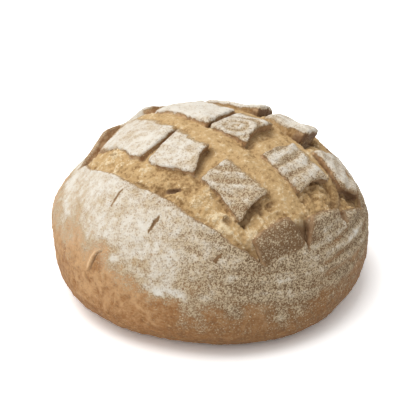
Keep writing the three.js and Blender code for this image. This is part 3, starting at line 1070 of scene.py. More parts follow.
@dataclass(frozen=True)
class FlourDusting:
    """How deep flour lies on the crust, and the rings that a coiled proving basket left in it.

    A level of 1 just hides the crust, at 0 only stray grains show, and below that none. Ramps bound the
    parts of the loaf where it lies otherwise, in millimetres, and losses are how much of it a ring lacks.
    """

    ring_along: float = 14.0
    ring_across: float = 10.0
    ring_pitch: float = 10.85
    ring_tight: float = 5.5
    ring_start: Ramp = Ramp(2.0, 26.0)
    ring_far: Ramp = Ramp(48.0, 72.0)
    ring_far_fade: float = 0.6
    ring_dip: Ramp = Ramp(-0.3, 0.9)
    ring_wander: Pair = (0.8, 3.0)
    ring_wander_size: float = 14.0
    ring_wander_far: Ramp = Ramp(6.0, 25.0)
    loss_left: float = 0.3
    loss_right: float = 0.42
    loss_plate: float = 0.7
    loss_outer: float = 0.6
    loss_flank: float = 0.4
    right: Ramp = Ramp(-20.0, 60.0)
    front: Ramp = Ramp(-95.0, -45.0)
    flank: Ramp = Ramp(125.0, 160.0)
    plain_row: Ramp = Ramp(42.0, 50.0)
    plain_end: Ramp = Ramp(98.0, 110.0)
    plain_share: float = 0.8
    outer: Ramp = Ramp(88.0, 100.0)
    outer_row: Ramp = Ramp(-20.0, 10.0)
    outer_loss: Pair = (0.68, 0.38)
    outer_shift: float = 6.0
    thick_row: Ramp = Ramp(-18.0, 0.0)
    thick_end: Ramp = Ramp(-8.0, 8.0)
    thick_level: float = 0.3
    upper_row: Ramp = Ramp(-10.0, 10.0)
    upper_start: Ramp = Ramp(5.0, 40.0)
    upper_level: float = 0.27
    blotches: Pair = (0.2, 15.0)
    mottle: Pair = (0.12, 5.0)
    patches: Stations = ((0.8, 11.0), (0.5, 4.5))
    patches_edge: Pair = (-2.0, 14.0)
    coil_pitch: float = 3.4
    coil_length: float = 34.0
    coil_radius: float = 110.0
    coil_slant: float = 9.7
    coil_level: float = 0.45
    clot_level: float = 0.8
    pale_level: float = 0.3
    bare: float = -1.1
    bare_strewn: float = -0.7
    strewn: Ramp = Ramp(14.0, 34.0)
    edge_left: Ramp = Ramp(-26.0, 15.0)
    edge_front: Ramp = Ramp(-27.0, 20.0)
    edge_right: Ramp = Ramp(-31.0, 22.0)
    edge_wander: Stations = ((7.0, 24.0), (5.0, 9.5), (4.0, 3.9))
    haze_wander: Stations = ((8.0, 24.0), (5.0, 7.0))
    haze_edge: Ramp = Ramp(-20.0, 2.0)
    haze_end: Ramp = Ramp(-90.0, -55.0)
    haze_stretch: Place = (1.0, 1.0, 0.35)
    haze_size: float = 3.0
    level_by_along: Stations = (
        (-70, 1.3), (-10, 1.25), (25, 1.18), (55, 1.08), (90, 0.75), (115, 0.66), (150, 0.58),
    )
    edge_by_bearing: Stations = (
        (-180, 69), (-160, 67), (-135, 64), (-118, 54), (-105, 46), (-90, 40), (-80, 36), (-70, 36),
        (-55, 36), (-20, 37), (30, 46), (90, 52), (140, 60), (180, 69),
    )

    def ring(self, along: Array, across: Array) -> Array:
        """Gives the rings' wave, from 1 on a pale ring to -1 between two."""
        away = self._away(along, across)
        return np.cos(2 * np.pi * (away / self.ring_pitch + 1.0 - np.exp(-away / self.ring_tight)))

    def ring_strength(self, along: Array, across: Array) -> Array:
        """Gives how clearly the rings show: not on the heavily floured left, and less far out.

        Args:
            along: Places along.
            across: Places across.

        Returns:
            Shares from 0 to 1.
        """
        far = self.ring_far.up(self._away(along, across))
        fading = self.ring_far_fade * far * self.flank.down(along + across)
        return self.ring_start.up(along + 0.6 * across) * (1.0 - fading)

    def coils(self, along: Array, across: Array) -> Array:
        """Gives fine streaks, from -1 to 1, that run the way the basket's coils do.

        Args:
            along: Places along.
            across: Places across.

        Returns:
            One value for each place.
        """
        away = self._away(along, across)
        way = np.arctan2(across - self.ring_across, along - self.ring_along) * self.coil_radius
        slant = way + self.coil_slant * away
        return GRAIN.flat(away * self.coil_length / self.coil_pitch, slant, self.coil_length)

    def level(self, along: Array, across: Array, points: Array, on_plate: Array) -> Array:
        """Gives how deep flour lies on the crust.

        Args:
            along: Places along.
            across: Places across.
            points: The same places in space, one to a row.
            on_plate: 1 on the plates between the scores, where the rings show best.

        Returns:
            Levels, 1 where flour just hides the crust.
        """
        right = self.right.up(points[:, 0])
        outer = on_plate * self.outer.up(along)
        thick = on_plate * self.thick_row.up(across) * self.thick_end.down(along)
        upper = self.upper_level * self.upper_row.up(across)
        level = np.interp(along, *zip(*self.level_by_along))
        level = level - self._ring_loss(along, across, on_plate, right)
        level = level - outer * between(*self.outer_loss, self.outer_row.up(across))
        level = level + GRAIN.relief(points, (self.blotches,))
        level = level + self.coil_level * right * (1.0 - on_plate) * self.coils(along, across)
        level = level + self.thick_level * thick
        level = level + GRAIN.relief(points, (self.mottle,))
        level = level + on_plate * self.upper_start.up(along) * upper
        level = level + self.pale_level * PALE_FLANK.cover(along, across)
        over = self._over_edge(points, self.edge_wander)
        shown = between(self.edge_left.up(over), self.edge_front.up(over), self.front.up(points[:, 0]))
        shown = between(shown, self.edge_right.up(over), right)
        strewn = right * self.strewn.up(points[:, 2])
        level = between(between(self.bare, self.bare_strewn, strewn), level, shown)
        for clot in CLOTS:
            level = level + self.clot_level * clot.cover(along, across)
        patches = GRAIN.relief(points, self.patches)
        return level + patches * (1.0 - 0.6 * right) * hump(over, *self.patches_edge)

    def haze(self, points: Array) -> Array:
        """Gives the thin veil of flour rubbed over the left flank, past the flour's lower edge.

        Args:
            points: Places in space, one to a row.

        Returns:
            Shares from 0 to 1.
        """
        over = self._over_edge(points, self.haze_wander)
        rubbed = 0.65 + 0.6 * GRAIN.solid(points * self.haze_stretch, self.haze_size)
        return rubbed * self.haze_edge.up(over) * self.haze_end.down(points[:, 0])

    def _away(self, along: Array, across: Array) -> Array:
        """Gives each place's way from the middle of the rings."""
        return np.hypot(along - self.ring_along, across - self.ring_across)

    def _ring_loss(self, along: Array, across: Array, on_plate: Array, right: Array) -> Array:
        """Gives how much flour is lacking between the pale rings.

        Args:
            along: Places along.
            across: Places across.
            on_plate: 1 on the plates between the scores.
            right: How far towards the loaf's right each place is, from 0 to 1.

        Returns:
            The lacking level.
        """
        outer = on_plate * self.outer.up(along)
        wander = between(*self.ring_wander, self.ring_wander_far.up(self._away(along, across)))
        wander = wander * GRAIN.flat(along, across, self.ring_wander_size)
        plain = self.plain_row.up(across) * self.plain_end.down(along)
        strength = self.ring_strength(along, across) * (1.0 - self.plain_share * plain)
        dips = self.ring_dip.up(-self.ring(along + wander + self.outer_shift * outer, across + wander))
        loss = between(between(self.loss_left, self.loss_right, right), self.loss_plate, on_plate)
        loss = between(loss, self.loss_outer, outer)
        loss = between(loss, self.loss_flank, self.flank.up(along + across))
        return loss * strength * dips

    def _over_edge(self, points: Array, wander: Stations) -> Array:
        """Gives how far each place is above the flour's lower edge.

        Args:
            points: Places in space, one to a row.
            wander: The height and the size of each wave of the edge.

        Returns:
            Heights, below 0 under the edge.
        """
        bearing = np.degrees(np.arctan2(points[:, 1], points[:, 0]))
        over = points[:, 2] - np.interp(bearing, *zip(*self.edge_by_bearing))
        for height, size in wander:
            over = over + height * GRAIN.solid(points, size)
        return over


@dataclass
class CrustZones:
    """Sorts the points of the loaf's skin into crust, torn edge, crumb and the painted shade of hollows.

    The points are given in space and on the crust laid flat, with the crust field there. Ramps give where
    a zone starts and where it is whole, in millimetres or as a level of flour.
    """

    PLATE = Ramp(0.5, 1.1)
    PLATE_DEEP = Ramp(5.0, 9.0)
    OUTER = Ramp(80.0, 95.0)
    NICK = Ramp(0.2, 0.9)
    NICK_DEEP = Ramp(0.2, 1.6)
    CRUMB = Ramp(-0.3, 0.6)
    CRUMB_DEEP = Ramp(2.6, 5.2)
    LIP = Ramp(-1.3, -0.2)
    WORN_EDGE = Ramp(0.0, 1.2)
    TORN_SIDE = Ramp(1.4, 3.0)
    FLUSH_HEAD = Ramp(0.0, 3.6)
    LEFT = Ramp(45.0, 55.0)
    BACK = Ramp(40.0, 47.0)
    BACK_RIGHT = Ramp(50.0, 57.0)
    BACK_END = Ramp(4.0, 9.0)
    BACK_SIDE = Ramp(1.2, 2.6)
    END_SIDE = Ramp(1.0, 2.4)
    END_WALL = Ramp(0.6, 2.8)
    FLAP_LOWER = Ramp(-24.0, -18.0)
    FLAP_UPPER = Ramp(-1.0, 4.0)
    FLAP_UPPER_END = Ramp(10.0, 16.0)
    FLAP_START = Ramp(54.0, 60.0)
    FLAP_WHOLE = Ramp(66.0, 74.0)
    FLAP_ROW = Ramp(-42.0, -34.0)
    FLAP_EDGE = 0.4
    FLAP_WIDTHS = (2.6, 7.0, 14.0)
    RIM_START = Ramp(64.0, 70.0)
    RIM_END = Ramp(16.0, 22.0)
    RIGHT = Ramp(-60.0, 30.0)
    DUSTED_LEFT = Ramp(0.25, 1.05)
    DUSTED_RIGHT = Ramp(-0.9, 0.7)
    LOWEST_SCORE = Ramp(40.0, 52.0)
    TOASTED_START = Ramp(-10.0, 30.0)
    TOASTED_END = Ramp(40.0, 65.0)
    PALER_START = Ramp(10.0, 40.0)
    FAR_SCORE_START = Ramp(84.0, 96.0)
    FAR_SCORE = Ramp(-2.0, 10.0)
    DARKER_LOW = Ramp(2.0, 55.0)
    DARKER_RIGHT = Ramp(30.0, 100.0)
    VEIL_THIN = Ramp(-0.6, 0.9)
    VEIL_THICK = Ramp(0.6, 1.2)
    PATCHY = Ramp(0.1, 0.6)
    CLUMPED = Ramp(-1.0, 0.2)
    SMOTHERED = Ramp(0.5, 1.1)
    FLAKE_CRAG = Ramp(0.6, 1.5)
    FLAKE_KNOB = Ramp(-0.3, 0.6)
    RAGGED_SIZE = 2.6
    BAKE_SIZE = 26.0
    PATCH_SIZE = 9.0

    points: Array
    along: Array
    across: Array
    above: Array
    layers: Layers

    def __post_init__(self) -> None:
        """Finds the zones that several masks share."""
        layers, along, across = self.layers, self.along, self.across
        self.on_plate = self.PLATE.down(layers.plate)
        self.outer = self.on_plate * self.OUTER.up(along)
        self.nick = self.NICK.down(layers.nick)
        self.crumb = (1.0 - self.on_plate) * self.CRUMB.up(layers.opening)
        self.ragged = FINE_GRAIN.solid(self.points, self.RAGGED_SIZE)
        self.frayed = layers.below_top + 0.9 * self.ragged - 0.9 * self.outer
        self.right = self.RIGHT.up(self.points[:, 0])
        self.back = self.BACK.up(across)
        back_end = np.maximum(self.BACK_RIGHT.up(along), self.BACK_END.down(layers.plate_end))
        self.shaded = self.back * back_end
        self.walls = self.back * (1.0 - self.shaded) * self.on_plate * self.BACK_SIDE.up(self.frayed)
        upper = self.FLAP_UPPER.up(across) * self.FLAP_UPPER_END.down(across)
        self.flap_rows = self.FLAP_LOWER.down(across), upper

    def masks(self, dusting: FlourDusting, wrinkles: Array) -> dict[Mask, Array]:
        """Works out every mask of the loaf's finish.

        Args:
            dusting: The flour on the crust.
            wrinkles: The folds and crackle of the bare crust at each point.

        Returns:
            The flour's level, the bake with painted shade from -1.5 to 1, and values from 0 to 1 for the
            other masks.
        """
        tear, flush, flap = self._tear(), self._flush(), self._flap()
        # Painted shade, also on the loose flaps' bare sides.
        hollow = np.maximum(self._hollow(tear), 0.35 * flap)
        flour = dusting.level(self.along, self.across, self.points, self.on_plate)
        dull = self._dull(flour, flap)
        clean = 1.0 - self._rim_dust()
        tear, crumb, flush = (values * clean for values in (tear, self.crumb, flush))
        opened = np.maximum(np.maximum(0.7 * tear, crumb), np.maximum(self.nick, 0.6 * flush))
        flour = flour - 3.0 * opened - flap
        crumb = np.maximum(crumb, 0.9 * np.maximum(flush, self.walls))
        haze = 0.75 * dusting.haze(self.points) * (1.0 - np.maximum(crumb, tear))
        veil = 0.25 * self.VEIL_THIN.up(flour) + 0.32 * self.VEIL_THICK.up(flour)
        haze = haze + (1.0 - haze) * (veil * between(1.0, 0.25, self.right))
        patchy = np.maximum(self.PATCHY.up(FINE_GRAIN.solid(self.points, self.PATCH_SIZE)), 0.3)
        clump = patchy * self.CLUMPED.up(flour) * (1.0 - 0.8 * self.SMOTHERED.up(flour))
        flake = crumb * self.FLAKE_CRAG.up(self.layers.crag) * self.FLAKE_KNOB.up(self.layers.knob)
        shares = {
            Mask.CRUMB: crumb,
            Mask.TEAR: tear * (1.0 - crumb),
            Mask.HOLLOW: hollow,
            Mask.KNOB: self._knob(),
            Mask.DULL: dull,
            Mask.HAZE: haze,
            Mask.CLUMP: clump,
            Mask.FLAKE: flake * (1.0 - hollow),
        }
        found = {mask: np.clip(values, 0.0, 1.0) for mask, values in shares.items()}
        found[Mask.FLOUR] = flour
        found[Mask.BAKE] = np.clip(self._bake(flap, wrinkles), -1.5, 1.0)
        return found

    def _tear(self) -> Array:
        """Gives the torn sides of the plates, the lips of the scores and the worn edges of outer plates.

        Returns:
            Shares from 0 to 1.
        """
        rim = 0.6 * (1.0 - self.on_plate) * self.LIP.up(self.layers.opening + 0.6 * self.ragged)
        worn = self.WORN_EDGE.down(self.layers.plate_side + 0.8 * self.ragged)
        rim = np.maximum(rim, 0.5 * self.outer * worn)
        return np.maximum(self.on_plate * self.TORN_SIDE.up(self.frayed), rim)

    def _flush(self) -> Array:
        """Gives the golden heads of the inner plates."""
        head = self.FLUSH_HEAD.down(self.layers.plate_head + 1.6 * self.ragged)
        return (1.0 - self.outer) * self.on_plate * head

    def _hollow(self, tear: Array) -> Array:
        """Gives the shade in hollows, pits, creases and the scores' narrow ends.

        Args:
            tear: The torn sides and lips.

        Returns:
            Shares from 0 to 1.
        """
        free = self.LEFT.down(-self.along)
        deep = 0.8 * free * self.on_plate * self.PLATE_DEEP.up(self.layers.below_top + 3.0 * self.shaded)
        sunk = between(0.6, 0.8, self.back) * free * self.crumb * self.CRUMB_DEEP.up(-self.above)
        deep = np.maximum(deep, sunk) * (1.0 - 0.7 * self.walls)
        # Painted shade on the plates' torn end walls under their lifted ends.
        end_wall = free * self.on_plate * self.END_SIDE.up(self.frayed)
        end_wall = end_wall * self.END_WALL.down(self.layers.plate_end) * between(0.45, 1.0, self.back)
        hollow = np.maximum(np.maximum(deep, end_wall), 0.15 * self.nick * self.NICK_DEEP.up(-self.above))
        # Painted shade on the outer plates' torn sides.
        hollow = np.maximum(hollow, 0.8 * self.outer * self.TORN_SIDE.up(self.frayed))
        places = self.along, self.across
        for pit in PITS:
            hollow = np.maximum(hollow, self.nick * pit.shadow(*places))
        for score in LONG_SCORES:
            hollow = np.maximum(hollow, np.maximum(self.crumb, tear) * score.shadow(*places))
        for crease in CREASES:
            hollow = np.maximum(hollow, crease.dark(*places))
        return hollow

    def _flap(self) -> Array:
        """Gives the bare brown sides of the loose flaps at the left.

        Returns:
            Shares from 0 to 1.
        """
        lower, upper = self.flap_rows
        narrow, middle, wide = self.FLAP_WIDTHS
        flap = (lower + upper) * self.on_plate * self.FLAP_START.up(-self.along)
        reach = between(middle, wide, self.FLAP_ROW.up(self.across))
        reach = between(narrow, reach, self.FLAP_WHOLE.up(-self.along))
        return flap * (1.0 - ease(self.layers.plate_side + 0.5 * self.ragged, self.FLAP_EDGE, reach))

    def _rim_dust(self) -> Array:
        """Gives where flour hides the cut edges at the left, between the flaps."""
        lower, upper = self.flap_rows
        return (1.0 - lower - upper) * self.RIM_START.up(-self.along) * self.RIM_END.down(self.across)

    def _dull(self, flour: Array, flap: Array) -> Array:
        """Gives the crust that is greyer under its flour.

        Args:
            flour: The flour's level.
            flap: The bare flaps.

        Returns:
            Shares from 0 to 1.
        """
        dusted = between(self.DUSTED_LEFT.up(flour), self.DUSTED_RIGHT.up(flour), self.right)
        dull = np.maximum(dusted, np.maximum(0.85 * self.on_plate, 0.35 * self.right))
        dull = dull * (1.0 - 0.2 * np.clip(self.on_plate - self.outer, 0.0, 1.0))
        return dull * (1.0 - np.maximum(flap, 0.2 * self.nick))

    def _knob(self) -> Array:
        """Gives how pale the crumb is, less where it is toasted.

        Returns:
            Values round 0.5.
        """
        along = self.along
        lowest = self.LOWEST_SCORE.up(-self.across)
        toasted = 0.25 * lowest * self.TOASTED_START.up(along) * self.TOASTED_END.down(along)
        toasted = toasted + 0.3 * self.FAR_SCORE_START.up(along) * self.FAR_SCORE.up(self.across)
        paler = lowest * (0.2 * self.TOASTED_END.up(along) + 0.16 * self.PALER_START.up(-along))
        return 0.5 + 0.4 * self.layers.knob - toasted + paler

    def _bake(self, flap: Array, wrinkles: Array) -> Array:
        """Gives how dark the bare crust is, from its bake and from painted shade.

        Args:
            flap: The bare flaps.
            wrinkles: The folds and crackle of the crust.

        Returns:
            Values from pale, below 0, to dark.
        """
        # Darker towards the bottom, partly painted shade near the floor; darker towards the right as well.
        bake = between(1.0, 0.35, self.DARKER_LOW.up(self.points[:, 2]))
        patches = 0.2 * GRAIN.solid(self.points, self.BAKE_SIZE)
        bake = bake + 0.2 * self.DARKER_RIGHT.up(self.along) + patches
        bake = bake + 0.7 * flap + 0.45 * (0.35 - wrinkles)
        # Painted shade behind each crease, and its paler lip, partly painted highlight.
        for crease in CREASES:
            shaded, pale = crease.shaded(self.along, self.across), crease.pale(self.along, self.across)
            bake = bake + 0.5 * shaded - 2.2 * pale
        return bake


@dataclass
class Loaf:
    """The loaf's visible body: one closed mesh with its crust, scores, crumb and hollows.

    The crust field fills cells pitch wide, in slabs of a few rows, within a band about the crust, and is
    held within clip of 0. The skin is then thinned to its triangles. Lumps are given as heights and sizes.
    """

    form: LoafForm = field(default_factory=LoafForm)
    crust: CrustField = field(default_factory=CrustField)
    flour: FlourDusting = field(default_factory=FlourDusting)
    pitch: float = 0.9
    quick_pitch: float = 1.5
    side_room: float = 9.0
    top_room: float = 12.0
    rows_below: float = 3.0
    band: float = 16.0
    clip: float = 3.0
    slab_rows: int = 12
    triangles: int = 194_000
    dough_lumps: Stations = ((0.7, 27.0), (0.3, 9.0))
    crust_lumps: Stations = ((0.12, 2.6), (0.2, 5.5))
    bare_lumps: Stations = ((0.16, 3.2),)
    torn_lumps: Stations = ((0.35, 1.8),)
    torn_size: float = 3.4
    ridge_heights: Pair = (0.6, 1.1)
    ridge_above: Ramp = Ramp(28.0, 48.0)
    coil_height: float = 0.22
    coil_right: Ramp = Ramp(-10.0, 70.0)
    coil_above: Ramp = Ramp(12.0, 30.0)
    bare_flour: Ramp = Ramp(-0.8, 0.4)
    wrinkle_height: float = 0.8
    base: Ramp = Ramp(0.5, 9.0)
    fold_stretch: Place = (1.0, 1.0, 1.7)
    fold_size: float = 9.0
    crackle_stretch: Place = (1.0, 1.0, 0.6)
    crackle_size: float = 4.6

    def build(self) -> bpy.types.Object:
        """Makes the loaf's mesh with the values its finish reads.

        Returns:
            The loaf, at the origin.
        """
        crust_map = CrustMap(self.form)
        points, quads = self._skin(crust_map)
        LOG.info("loaf skin: %d points, %d faces", len(points), len(quads))
        mesh = mesh_from_arrays("loaf_skin", points, quads)
        normals = read_rows(mesh.vertex_normals, "vector")
        along, across, above = crust_map.locate(points)
        layers = self.crust.layers(along, across, above)
        zones = CrustZones(points, along, across, above, layers)
        masks = zones.masks(self.flour, self._wrinkles(points))
        write_points(mesh, self._roughen(zones, normals, masks))
        for mask in Mask:
            attribute = mesh.attributes.new(mask.value, "FLOAT", "POINT")
            attribute.data.foreach_set("value", masks[mask].astype(np.float32))
        mesh = self._thin(mesh)
        write_points(mesh, self._place(read_rows(mesh.vertices, "co")))
        mesh.shade_smooth()
        loaf = bpy.data.objects.new("loaf_crust", mesh)
        bpy.context.scene.collection.objects.link(loaf)
        return loaf

    def _skin(self, crust_map: CrustMap) -> tuple[Array, Array]:
        """Fills a block of cells with the crust field and skins it where the field is 0.

        Args:
            crust_map: Finds places on the crust laid flat.

        Returns:
            The skin's points, and the points of each of its four-sided faces.
        """
        pitch = self.pitch
        reach = self.form.belly_radius + self.side_room
        plan = np.arange(-reach, reach + pitch, pitch, dtype=np.float32)
        top = self.form.height + self.top_room
        heights = np.arange(-self.rows_below * pitch, top, pitch, dtype=np.float32)
        block = np.empty((len(plan), len(plan), len(heights)), np.float32)
        x, y = np.meshgrid(plan, plan, indexing="ij")
        for start in range(0, len(heights), self.slab_rows):
            levels = heights[start:start + self.slab_rows]
            points = np.column_stack((
                np.tile(x.ravel(), len(levels)),
                np.tile(y.ravel(), len(levels)),
                np.repeat(levels, x.size),
            ))
            along, across, above = crust_map.locate(points)
            value = np.maximum(above, -points[:, 2])
            near = np.flatnonzero(np.abs(above) < self.band)
            found = self.crust.layers(along[near], across[near], above[near]).total
            value[near] = np.maximum(found, -points[near, 2])
            value = np.clip(value, -self.clip, self.clip).reshape(len(levels), *x.shape)
            block[:, :, start:start + len(levels)] = np.moveaxis(value, 0, 2)
        grid = openvdb.FloatGrid(self.clip)
        grid.copyFromArray(block)
        cells, quads = grid.convertToQuads(0.0)
        corner = np.array((plan[0], plan[0], heights[0]))
        return cells * pitch + corner, quads.astype(np.int32)

    def _thin(self, mesh: bpy.types.Mesh) -> bpy.types.Mesh:
        """Thins the mesh to its share of triangles, most where it is plain.

        Args:
            mesh: The skin, which is removed if it is thinned.

        Returns:
            The thinned mesh.
        """
        faces = 2 * len(mesh.polygons)
        if faces <= self.triangles:
            return mesh
        piece = bpy.data.objects.new("loaf_skin", mesh)
        bpy.context.scene.collection.objects.link(piece)
        thinning = piece.modifiers.new("thin", "DECIMATE")
        thinning.ratio = self.triangles / faces
        thinning.use_collapse_triangulate = True
        settled = bpy.context.evaluated_depsgraph_get()
        thinned = bpy.data.meshes.new_from_object(piece.evaluated_get(settled))
        thinned.name = "loaf_crust"
        bpy.data.objects.remove(piece)
        bpy.data.meshes.remove(mesh)
        return thinned

    def _roughen(self, zones: CrustZones, normals: Array, masks: dict[Mask, Array]) -> Array:
        """Adds the lumps of the dough, the basket's ridges and the grain of the crumb.

        Args:
            zones: The mesh's points, in their zones.
            normals: Their normals.
            masks: What each point is.

        Returns:
            The points moved along their normals.
        """
        points, along, across = zones.points, zones.along, zones.across
        height = points[:, 2]
        crust = (1.0 - masks[Mask.CRUMB]) * (1.0 - masks[Mask.TEAR])
        torn = np.maximum(masks[Mask.CRUMB] * np.maximum(zones.layers.crag, 0.5), masks[Mask.TEAR] * 0.6)
        push = GRAIN.relief(points, self.dough_lumps)
        push = push + crust * FINE_GRAIN.relief(points, self.crust_lumps)
        ridges = self.flour.ring(along, across) * self.flour.ring_strength(along, across)
        ridge = between(*self.ridge_heights, self.flour.flank.up(along + across))
        push = push + crust * ridge * ridges * self.ridge_above.up(height)
        right = self.coil_right.up(points[:, 0]) * self.coil_above.up(height)
        push = push + self.coil_height * crust * right * self.flour.coils(along, across)
        bare = crust * self.bare_flour.down(masks[Mask.FLOUR])
        wrinkles = self.wrinkle_height * self._wrinkles(points)
        push = push + bare * (wrinkles + GRAIN.relief(points, self.bare_lumps))
        for crease in CREASES:
            push = push + crease.push(along, across)
        flakes = (1.0 - np.abs(FINE_GRAIN.solid(points, self.torn_size))) ** 4 - 0.3
        push = push + torn * (0.5 * flakes + GRAIN.relief(points, self.torn_lumps))
        push = push * self.base.up(height)
        moved = points + normals * push[:, None]
        moved[:, 2] = np.maximum(moved[:, 2], 0.0)
        return moved

    def _wrinkles(self, points: Array) -> Array:
        """Gives the fine folds and crackle of the bare crust.

        Args:
            points: Places in space, one to a row.

        Returns:
            Values from 0 to about 1, highest on the ridges.
        """
        folds = (1.0 - np.abs(FINE_GRAIN.solid(points * self.fold_stretch, self.fold_size))) ** 5
        crackle = (1.0 - np.abs(GRAIN.solid(points * self.crackle_stretch, self.crackle_size))) ** 4
        return 0.5 * folds + 0.6 * crackle

    def _place(self, points: Array) -> Array:
        """Makes points uneven, and sets them over the middle of the solid that they stand for.

        Args:
            points: Places on the even form, in millimetres.

        Returns:
            Places in the frame, in metres.
        """
        low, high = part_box("loaf")
        middle = np.array((low + high) / 2) * (1.0, 1.0, 0.0)
        return (self.form.uneven(points) - self.form.plan_centre()) * MILLIMETRE + middle


def mesh_from_arrays(name: str, points: Array, faces: Array) -> bpy.types.Mesh:
    """Makes a mesh from arrays.

    Args:
        name: The mesh's name.
        points: Its points, one to a row.
        faces: The points of each face, one face to a row.

    Returns:
        The mesh.
    """
    mesh = bpy.data.meshes.new(name)
    corners = faces.shape[1]
    mesh.vertices.add(len(points))
    mesh.vertices.foreach_set("co", points.astype(np.float32).ravel())
    mesh.loops.add(faces.size)
    mesh.loops.foreach_set("vertex_index", faces.ravel())
    mesh.polygons.add(len(faces))
    mesh.polygons.foreach_set("loop_start", np.arange(0, faces.size, corners, dtype=np.int32))
    mesh.update(calc_edges=True)
    mesh.validate()
    return mesh


def read_rows(collection: bpy.types.bpy_prop_collection, name: str) -> Array:
    """Reads three numbers of each item of a mesh.

    Args:
        collection: The mesh's points or their normals.
        name: The property that holds the three numbers.

    Returns:
        One row for each item.
    """
    flat = np.empty(len(collection) * 3, np.float32)
    collection.foreach_get(name, flat)
    return flat.reshape(-1, 3).astype(np.float64)


def write_points(mesh: bpy.types.Mesh, points: Array) -> None:
    """Moves a mesh's points to new places, one to a row."""
    mesh.vertices.foreach_set("co", points.astype(np.float32).ravel())
    mesh.update()


def shade(red: int, green: int, blue: int) -> Colour:
    """Turns a colour as seen on a screen, from 0 to 255, into the linear values that shaders use."""
    parts = [level / 255.0 for level in (red, green, blue)]
    return tuple(part / 12.92 if part <= 0.04045 else ((part + 0.055) / 1.055) ** 2.4 for part in parts)


@dataclass(frozen=True)
class Texture:
    """A noise whose lumps are about size metres wide."""

    size: float
    detail: float
    roughness: float

    def feeds(self, place: object) -> Feeds:
        """Gives what a Noise Texture at some coordinates is fed."""
        scale = 1.0 / self.size
        return {"Vector": place, "Scale": scale, "Detail": self.detail, "Roughness": self.roughness}


class Shading:
    """Builds a node tree from left to right, one short call for each node.

    A value that a call takes is an output of another node, or a constant.
    """

    STEP = (180, -260)
    COLUMNS = 12

    def __init__(self, tree: Tree) -> None:
        """Takes the tree to fill, a material's or a group's."""
        self.tree = tree
        self.count = 0

    def node(self, kind: str, feeds: Feeds | None = None, **settings: object) -> bpy.types.Node:
        """Adds a node.

        Args:
            kind: The node's type.
            feeds: What its inputs are fed.
            settings: Its properties by name.

        Returns:
            The node.
        """
        made = self.tree.nodes.new(kind)
        row, column = divmod(self.count, self.COLUMNS)
        made.location = (self.STEP[0] * column, self.STEP[1] * row)
        self.count += 1
        for name, value in settings.items():
            setattr(made, name, value)
        self.feed(made, feeds or {})
        return made

    def feed(self, node: bpy.types.Node, feeds: Feeds) -> None:
        """Links outputs to a node's inputs, or sets the inputs to constants.

        Args:
            node: The node.
            feeds: What its inputs are fed, by name or number.
        """
        for name, value in feeds.items():
            socket = node.inputs[name]
            if isinstance(value, Socket):
                self.tree.links.new(value, socket)
            elif isinstance(value, tuple) and socket.type == "RGBA":
                socket.default_value = (*value, 1.0)
            else:
                socket.default_value = value

    def math(self, operation: str, first: object, second: object = 0.0) -> Socket:
        """Gives the result of a Math node."""
        return self.node("ShaderNodeMath", {0: first, 1: second}, operation=operation).outputs[0]

    def mix(self, share: object, first: object, second: object) -> Socket:
        """Mixes two colours, by the second one's share."""
        feeds = {"Factor": share, 6: first, 7: second}
        return self.node("ShaderNodeMix", feeds, data_type="RGBA").outputs[2]

    def noise(self, place: object, texture: Texture) -> Socket:
        """Gives a Noise Texture's values, from 0 to 1."""
        return self.node("ShaderNodeTexNoise", texture.feeds(place)).outputs["Fac"]

    def cells(self, place: object, size: float) -> Socket:
        """Gives a Voronoi Texture's patches, about size metres wide, each with its own grey."""
        return self.node("ShaderNodeTexVoronoi", {"Vector": place, "Scale": 1.0 / size}).outputs["Color"]

    def spread(self, value: object, ramp: Ramp) -> Socket:
        """Gives a value's share on a ramp, which may also fall."""
        feeds = {"Value": value, "From Min": ramp.low, "From Max": ramp.high}
        return self.node("ShaderNodeMapRange", feeds, interpolation_type="SMOOTHSTEP").outputs["Result"]

    def part(self, share: float, value: object) -> Socket:
        """Gives a constant share of a value."""
        return self.math("MULTIPLY", value, share)

    def stir(self, value: object, noise: object, gain: float) -> Socket:
        """Adds a noise about its middle, times a gain, to a value."""
        swing = self.math("MULTIPLY", self.math("SUBTRACT", noise, 0.5), gain)
        return self.math("ADD", value, swing)

    def group(self, tree: Tree, **inputs: object) -> bpy.types.Node:
        """Places a node group and feeds its inputs, named in lower case."""
        feeds = {name.capitalize(): value for name, value in inputs.items()}
        return self.node("ShaderNodeGroup", feeds, node_tree=tree)

    def put_out(self, **outputs: object) -> Tree:
        """Ends a node group by feeding its outputs, named in lower case, and gives the group."""
        self.node("NodeGroupOutput", {name.capitalize(): value for name, value in outputs.items()})
        return self.tree

    def mask(self, mask: Mask) -> Socket:
        """Reads one of the mesh's own values."""
        made = self.node("ShaderNodeAttribute", attribute_type="GEOMETRY", attribute_name=mask.value)
        return made.outputs["Fac"]


def start_group(
    name: str,
    inputs: dict[str, str],
    outputs: dict[str, str],
    tree: str = "ShaderNodeTree",
) -> tuple[Shading, dict[str, Socket]]:
    """Starts a node group with named sockets.

    Args:
        name: The group's name.
        inputs: Names and socket types of its inputs.
        outputs: Names and socket types of its outputs.
        tree: The group's type.

    Returns:
        The tool that fills the group, and its inputs by name.
    """
    group = bpy.data.node_groups.new(name, tree)
    for side, sockets in (("INPUT", inputs), ("OUTPUT", outputs)):
        for label, kind in sockets.items():
            group.interface.new_socket(label, in_out=side, socket_type=kind)
    sheet = Shading(group)
    taken = sheet.node("NodeGroupInput").outputs
    return sheet, {label: taken[label] for label in inputs}


def start_material(name: str) -> tuple[Material, Shading, bpy.types.Node, Socket]:
    """Starts a material.

    Args:
        name: The material's name.

    Returns:
        The material, the tool that fills its tree, its shader, and the object coordinates.
    """
    material = bpy.data.materials.new(name)
    material.use_nodes = True
    sheet = Shading(material.node_tree)
    shader = material.node_tree.nodes["Principled BSDF"]
    return material, sheet, shader, sheet.node("ShaderNodeTexCoord").outputs["Object"]


